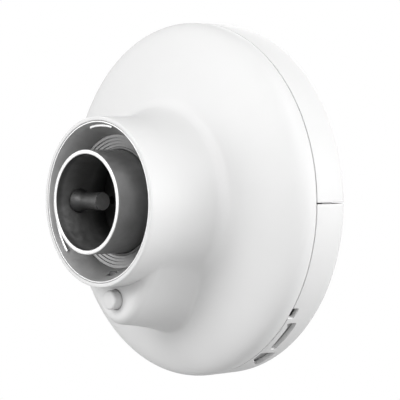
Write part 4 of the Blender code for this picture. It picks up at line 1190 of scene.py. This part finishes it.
def place_screws(first, places, prefix):
    """Puts a copy of the first screw at each place; each stands for its CAD screw."""
    screws = [first, *(first.copy() for _ in places[1:])]
    for i, (screw, (x, z)) in enumerate(zip(screws, places), 1):
        if screw is not first:
            bpy.context.scene.collection.objects.link(screw)
        screw.name = f"{prefix}_{i}_fine"
        screw.location = (x * MM, 0, z * MM)
        stand_for(screw, "screw_steel", f"{prefix}_{i}")


def make_screws(mats):
    # prefix, shaft and head radius, head from and to, tip, socket radius, places
    for prefix, *sizes, places in (
            ("cover_screw", 1.5, 3.6, BACK_DEPTH - 1, BACK_DEPTH + 1, 12, 1.5, COVER_SCREWS),
            ("mount_bolt", 3, 5, MOUNT_FACE - 3.1, MOUNT_FACE - 0.4, 15, 2.4, MOUNT_BOLTS),
            ("port_board_screw", 1.2, 2.6, 6.9, 8.9, 4, 1.1, PORT_SCREWS),
            ("shell_screw", 1.5, 3.2, 3.4, 5.8, -8, 1.4, SHELL_SCREWS)):
        place_screws(screw_mesh(prefix, *sizes, mats["steel"]), places, prefix)


# ---------------------------------------------------------------- light, camera and floor

# name, direction from the object, size in metres, power in watts
LIGHTS = [
    ("key", (0.72, -0.262, 0.643), 0.9, 13.8),
    ("side", (0.863, -0.498, 0.087), 0.9, 2.2),
    ("front", (-0.05, -0.88, 0.47), 0.9, 14.2),
    ("left", (-0.498, -0.863, 0.087), 0.9, 9.8),
    ("back", (0.863, 0.498, 0.087), 0.9, 20),
    ("back_left", (-0.45, 0.8, 0.35), 1.2, 10.5),
]
LIGHT_DISTANCE = 1.6
LIGHT_TARGET = (0, -0.05, 0)
AMBIENT = 0.42  # light from all round
MIRRORED = 0.6  # how much of the white surroundings glossy surfaces see
WHITE = (1, 1, 1, 1)
FLOOR_GREY = 0.5
FLOOR_SIZE = 6000
FLOOR_Z = -170

# The photograph's viewpoint, fitted to the object's outlines
VIEW_AZIMUTH = math.radians(48.1)
VIEW_ELEVATION = math.radians(1.73)
VIEW_DISTANCE = 1.06
VIEW_RIGHT, VIEW_DOWN = 0.00619, 0.00039  # the camera's shift
LENS = 147
SENSOR = 36


def stand(name, data, location, turn):
    """Adds a camera or a lamp to the scene."""
    made = bpy.data.objects.new(name, data)
    made.location = location
    made.rotation_mode = "QUATERNION"
    made.rotation_quaternion = turn
    bpy.context.scene.collection.objects.link(made)
    return made


def make_camera():
    """The photograph's viewpoint: to the right of the port's axis, a little above it, with a long lens."""
    level = math.cos(VIEW_ELEVATION)
    back = Vector((math.sin(VIEW_AZIMUTH) * level, -math.cos(VIEW_AZIMUTH) * level, math.sin(VIEW_ELEVATION)))
    right = Vector((math.cos(VIEW_AZIMUTH), math.sin(VIEW_AZIMUTH), 0))
    up = back.cross(right)
    data = bpy.data.cameras.new("camera")
    data.sensor_width = SENSOR
    data.lens = LENS
    place = Vector((0, SEAM_Y, 0)) + back * VIEW_DISTANCE + right * VIEW_RIGHT - up * VIEW_DOWN
    turn = Matrix((right, up, back)).transposed().to_quaternion()
    bpy.context.scene.camera = stand("camera", data, place, turn)


def area_light(name, direction, size, power):
    """A large soft light that faces the object from a direction."""
    data = bpy.data.lights.new(name, "AREA")
    data.shape = "DISK"
    data.size = size
    data.energy = power
    place = Vector(direction).normalized() * LIGHT_DISTANCE
    stand(name, data, place, (Vector(LIGHT_TARGET) - place).to_track_quat("-Z", "Y"))


def mix_shaders(owner, share, one, other):
    """A mix of two shader nodes: the share is how much of the other."""
    mix = node(owner, "ShaderNodeMixShader")
    for i, out in enumerate((share, one.outputs[0], other.outputs[0])):
        link(owner, out, mix.inputs[i])
    return mix


def floor_paper():
    """Overexposed white paper: pure white to the eye, and only as bright as paper to the object's reflections."""
    paper = principled("floor_paper", grey(FLOOR_GREY), 0.9)
    nodes = paper.node_tree.nodes
    seen = node(paper, "ShaderNodeLightPath").outputs["Is Camera Ray"]
    mix = mix_shaders(paper, seen, nodes["Principled BSDF"], node(paper, "ShaderNodeEmission"))
    link(paper, mix.outputs["Shader"], nodes["Material Output"].inputs["Surface"])
    return paper


def make_studio():
    """White surroundings that light the object evenly, soft lamps, and the floor."""
    scene = bpy.context.scene
    scene.view_settings.view_transform = "Standard"
    world = bpy.data.worlds.new("studio")
    scene.world = world
    world.use_nodes = True
    ambient = world.node_tree.nodes["Background"]
    ambient.inputs["Color"].default_value = WHITE
    ambient.inputs["Strength"].default_value = AMBIENT
    seen = node(world, "ShaderNodeBackground", Color=WHITE, Strength=1.0)
    path = node(world, "ShaderNodeLightPath").outputs
    bright = node(world, "ShaderNodeMath")
    bright.operation = "MULTIPLY_ADD"
    bright.inputs[1].default_value = MIRRORED
    link(world, path["Is Glossy Ray"], bright.inputs[0])
    link(world, path["Is Camera Ray"], bright.inputs[2])
    choose = mix_shaders(world, bright.outputs["Value"], ambient, seen)
    link(world, choose.outputs["Shader"], world.node_tree.nodes["World Output"].inputs["Surface"])
    for light in LIGHTS:
        area_light(*light)
    bm = bmesh.new()
    bmesh.ops.create_grid(bm, x_segments=8, y_segments=8, size=FLOOR_SIZE)
    to_object("floor", moved(bm, z=FLOOR_Z), floor_paper())


# ---------------------------------------------------------------- the whole

def main():
    make_camera()
    make_studio()
    mats = make_materials()
    for make in (make_front_shell, make_bayonet_ring, make_choke_ring, make_port_seal, make_waveguide, make_backshort,
                 make_probes, make_button, make_latch, make_springs, make_upper_cover, make_port_cover,
                 make_status_lens, make_cover_catch, make_mount_block, make_chassis, make_port_board, make_jack,
                 make_reset, make_status_light, make_vent, make_ground_terminal, make_screws, finish_hidden):
        make(mats)


main()
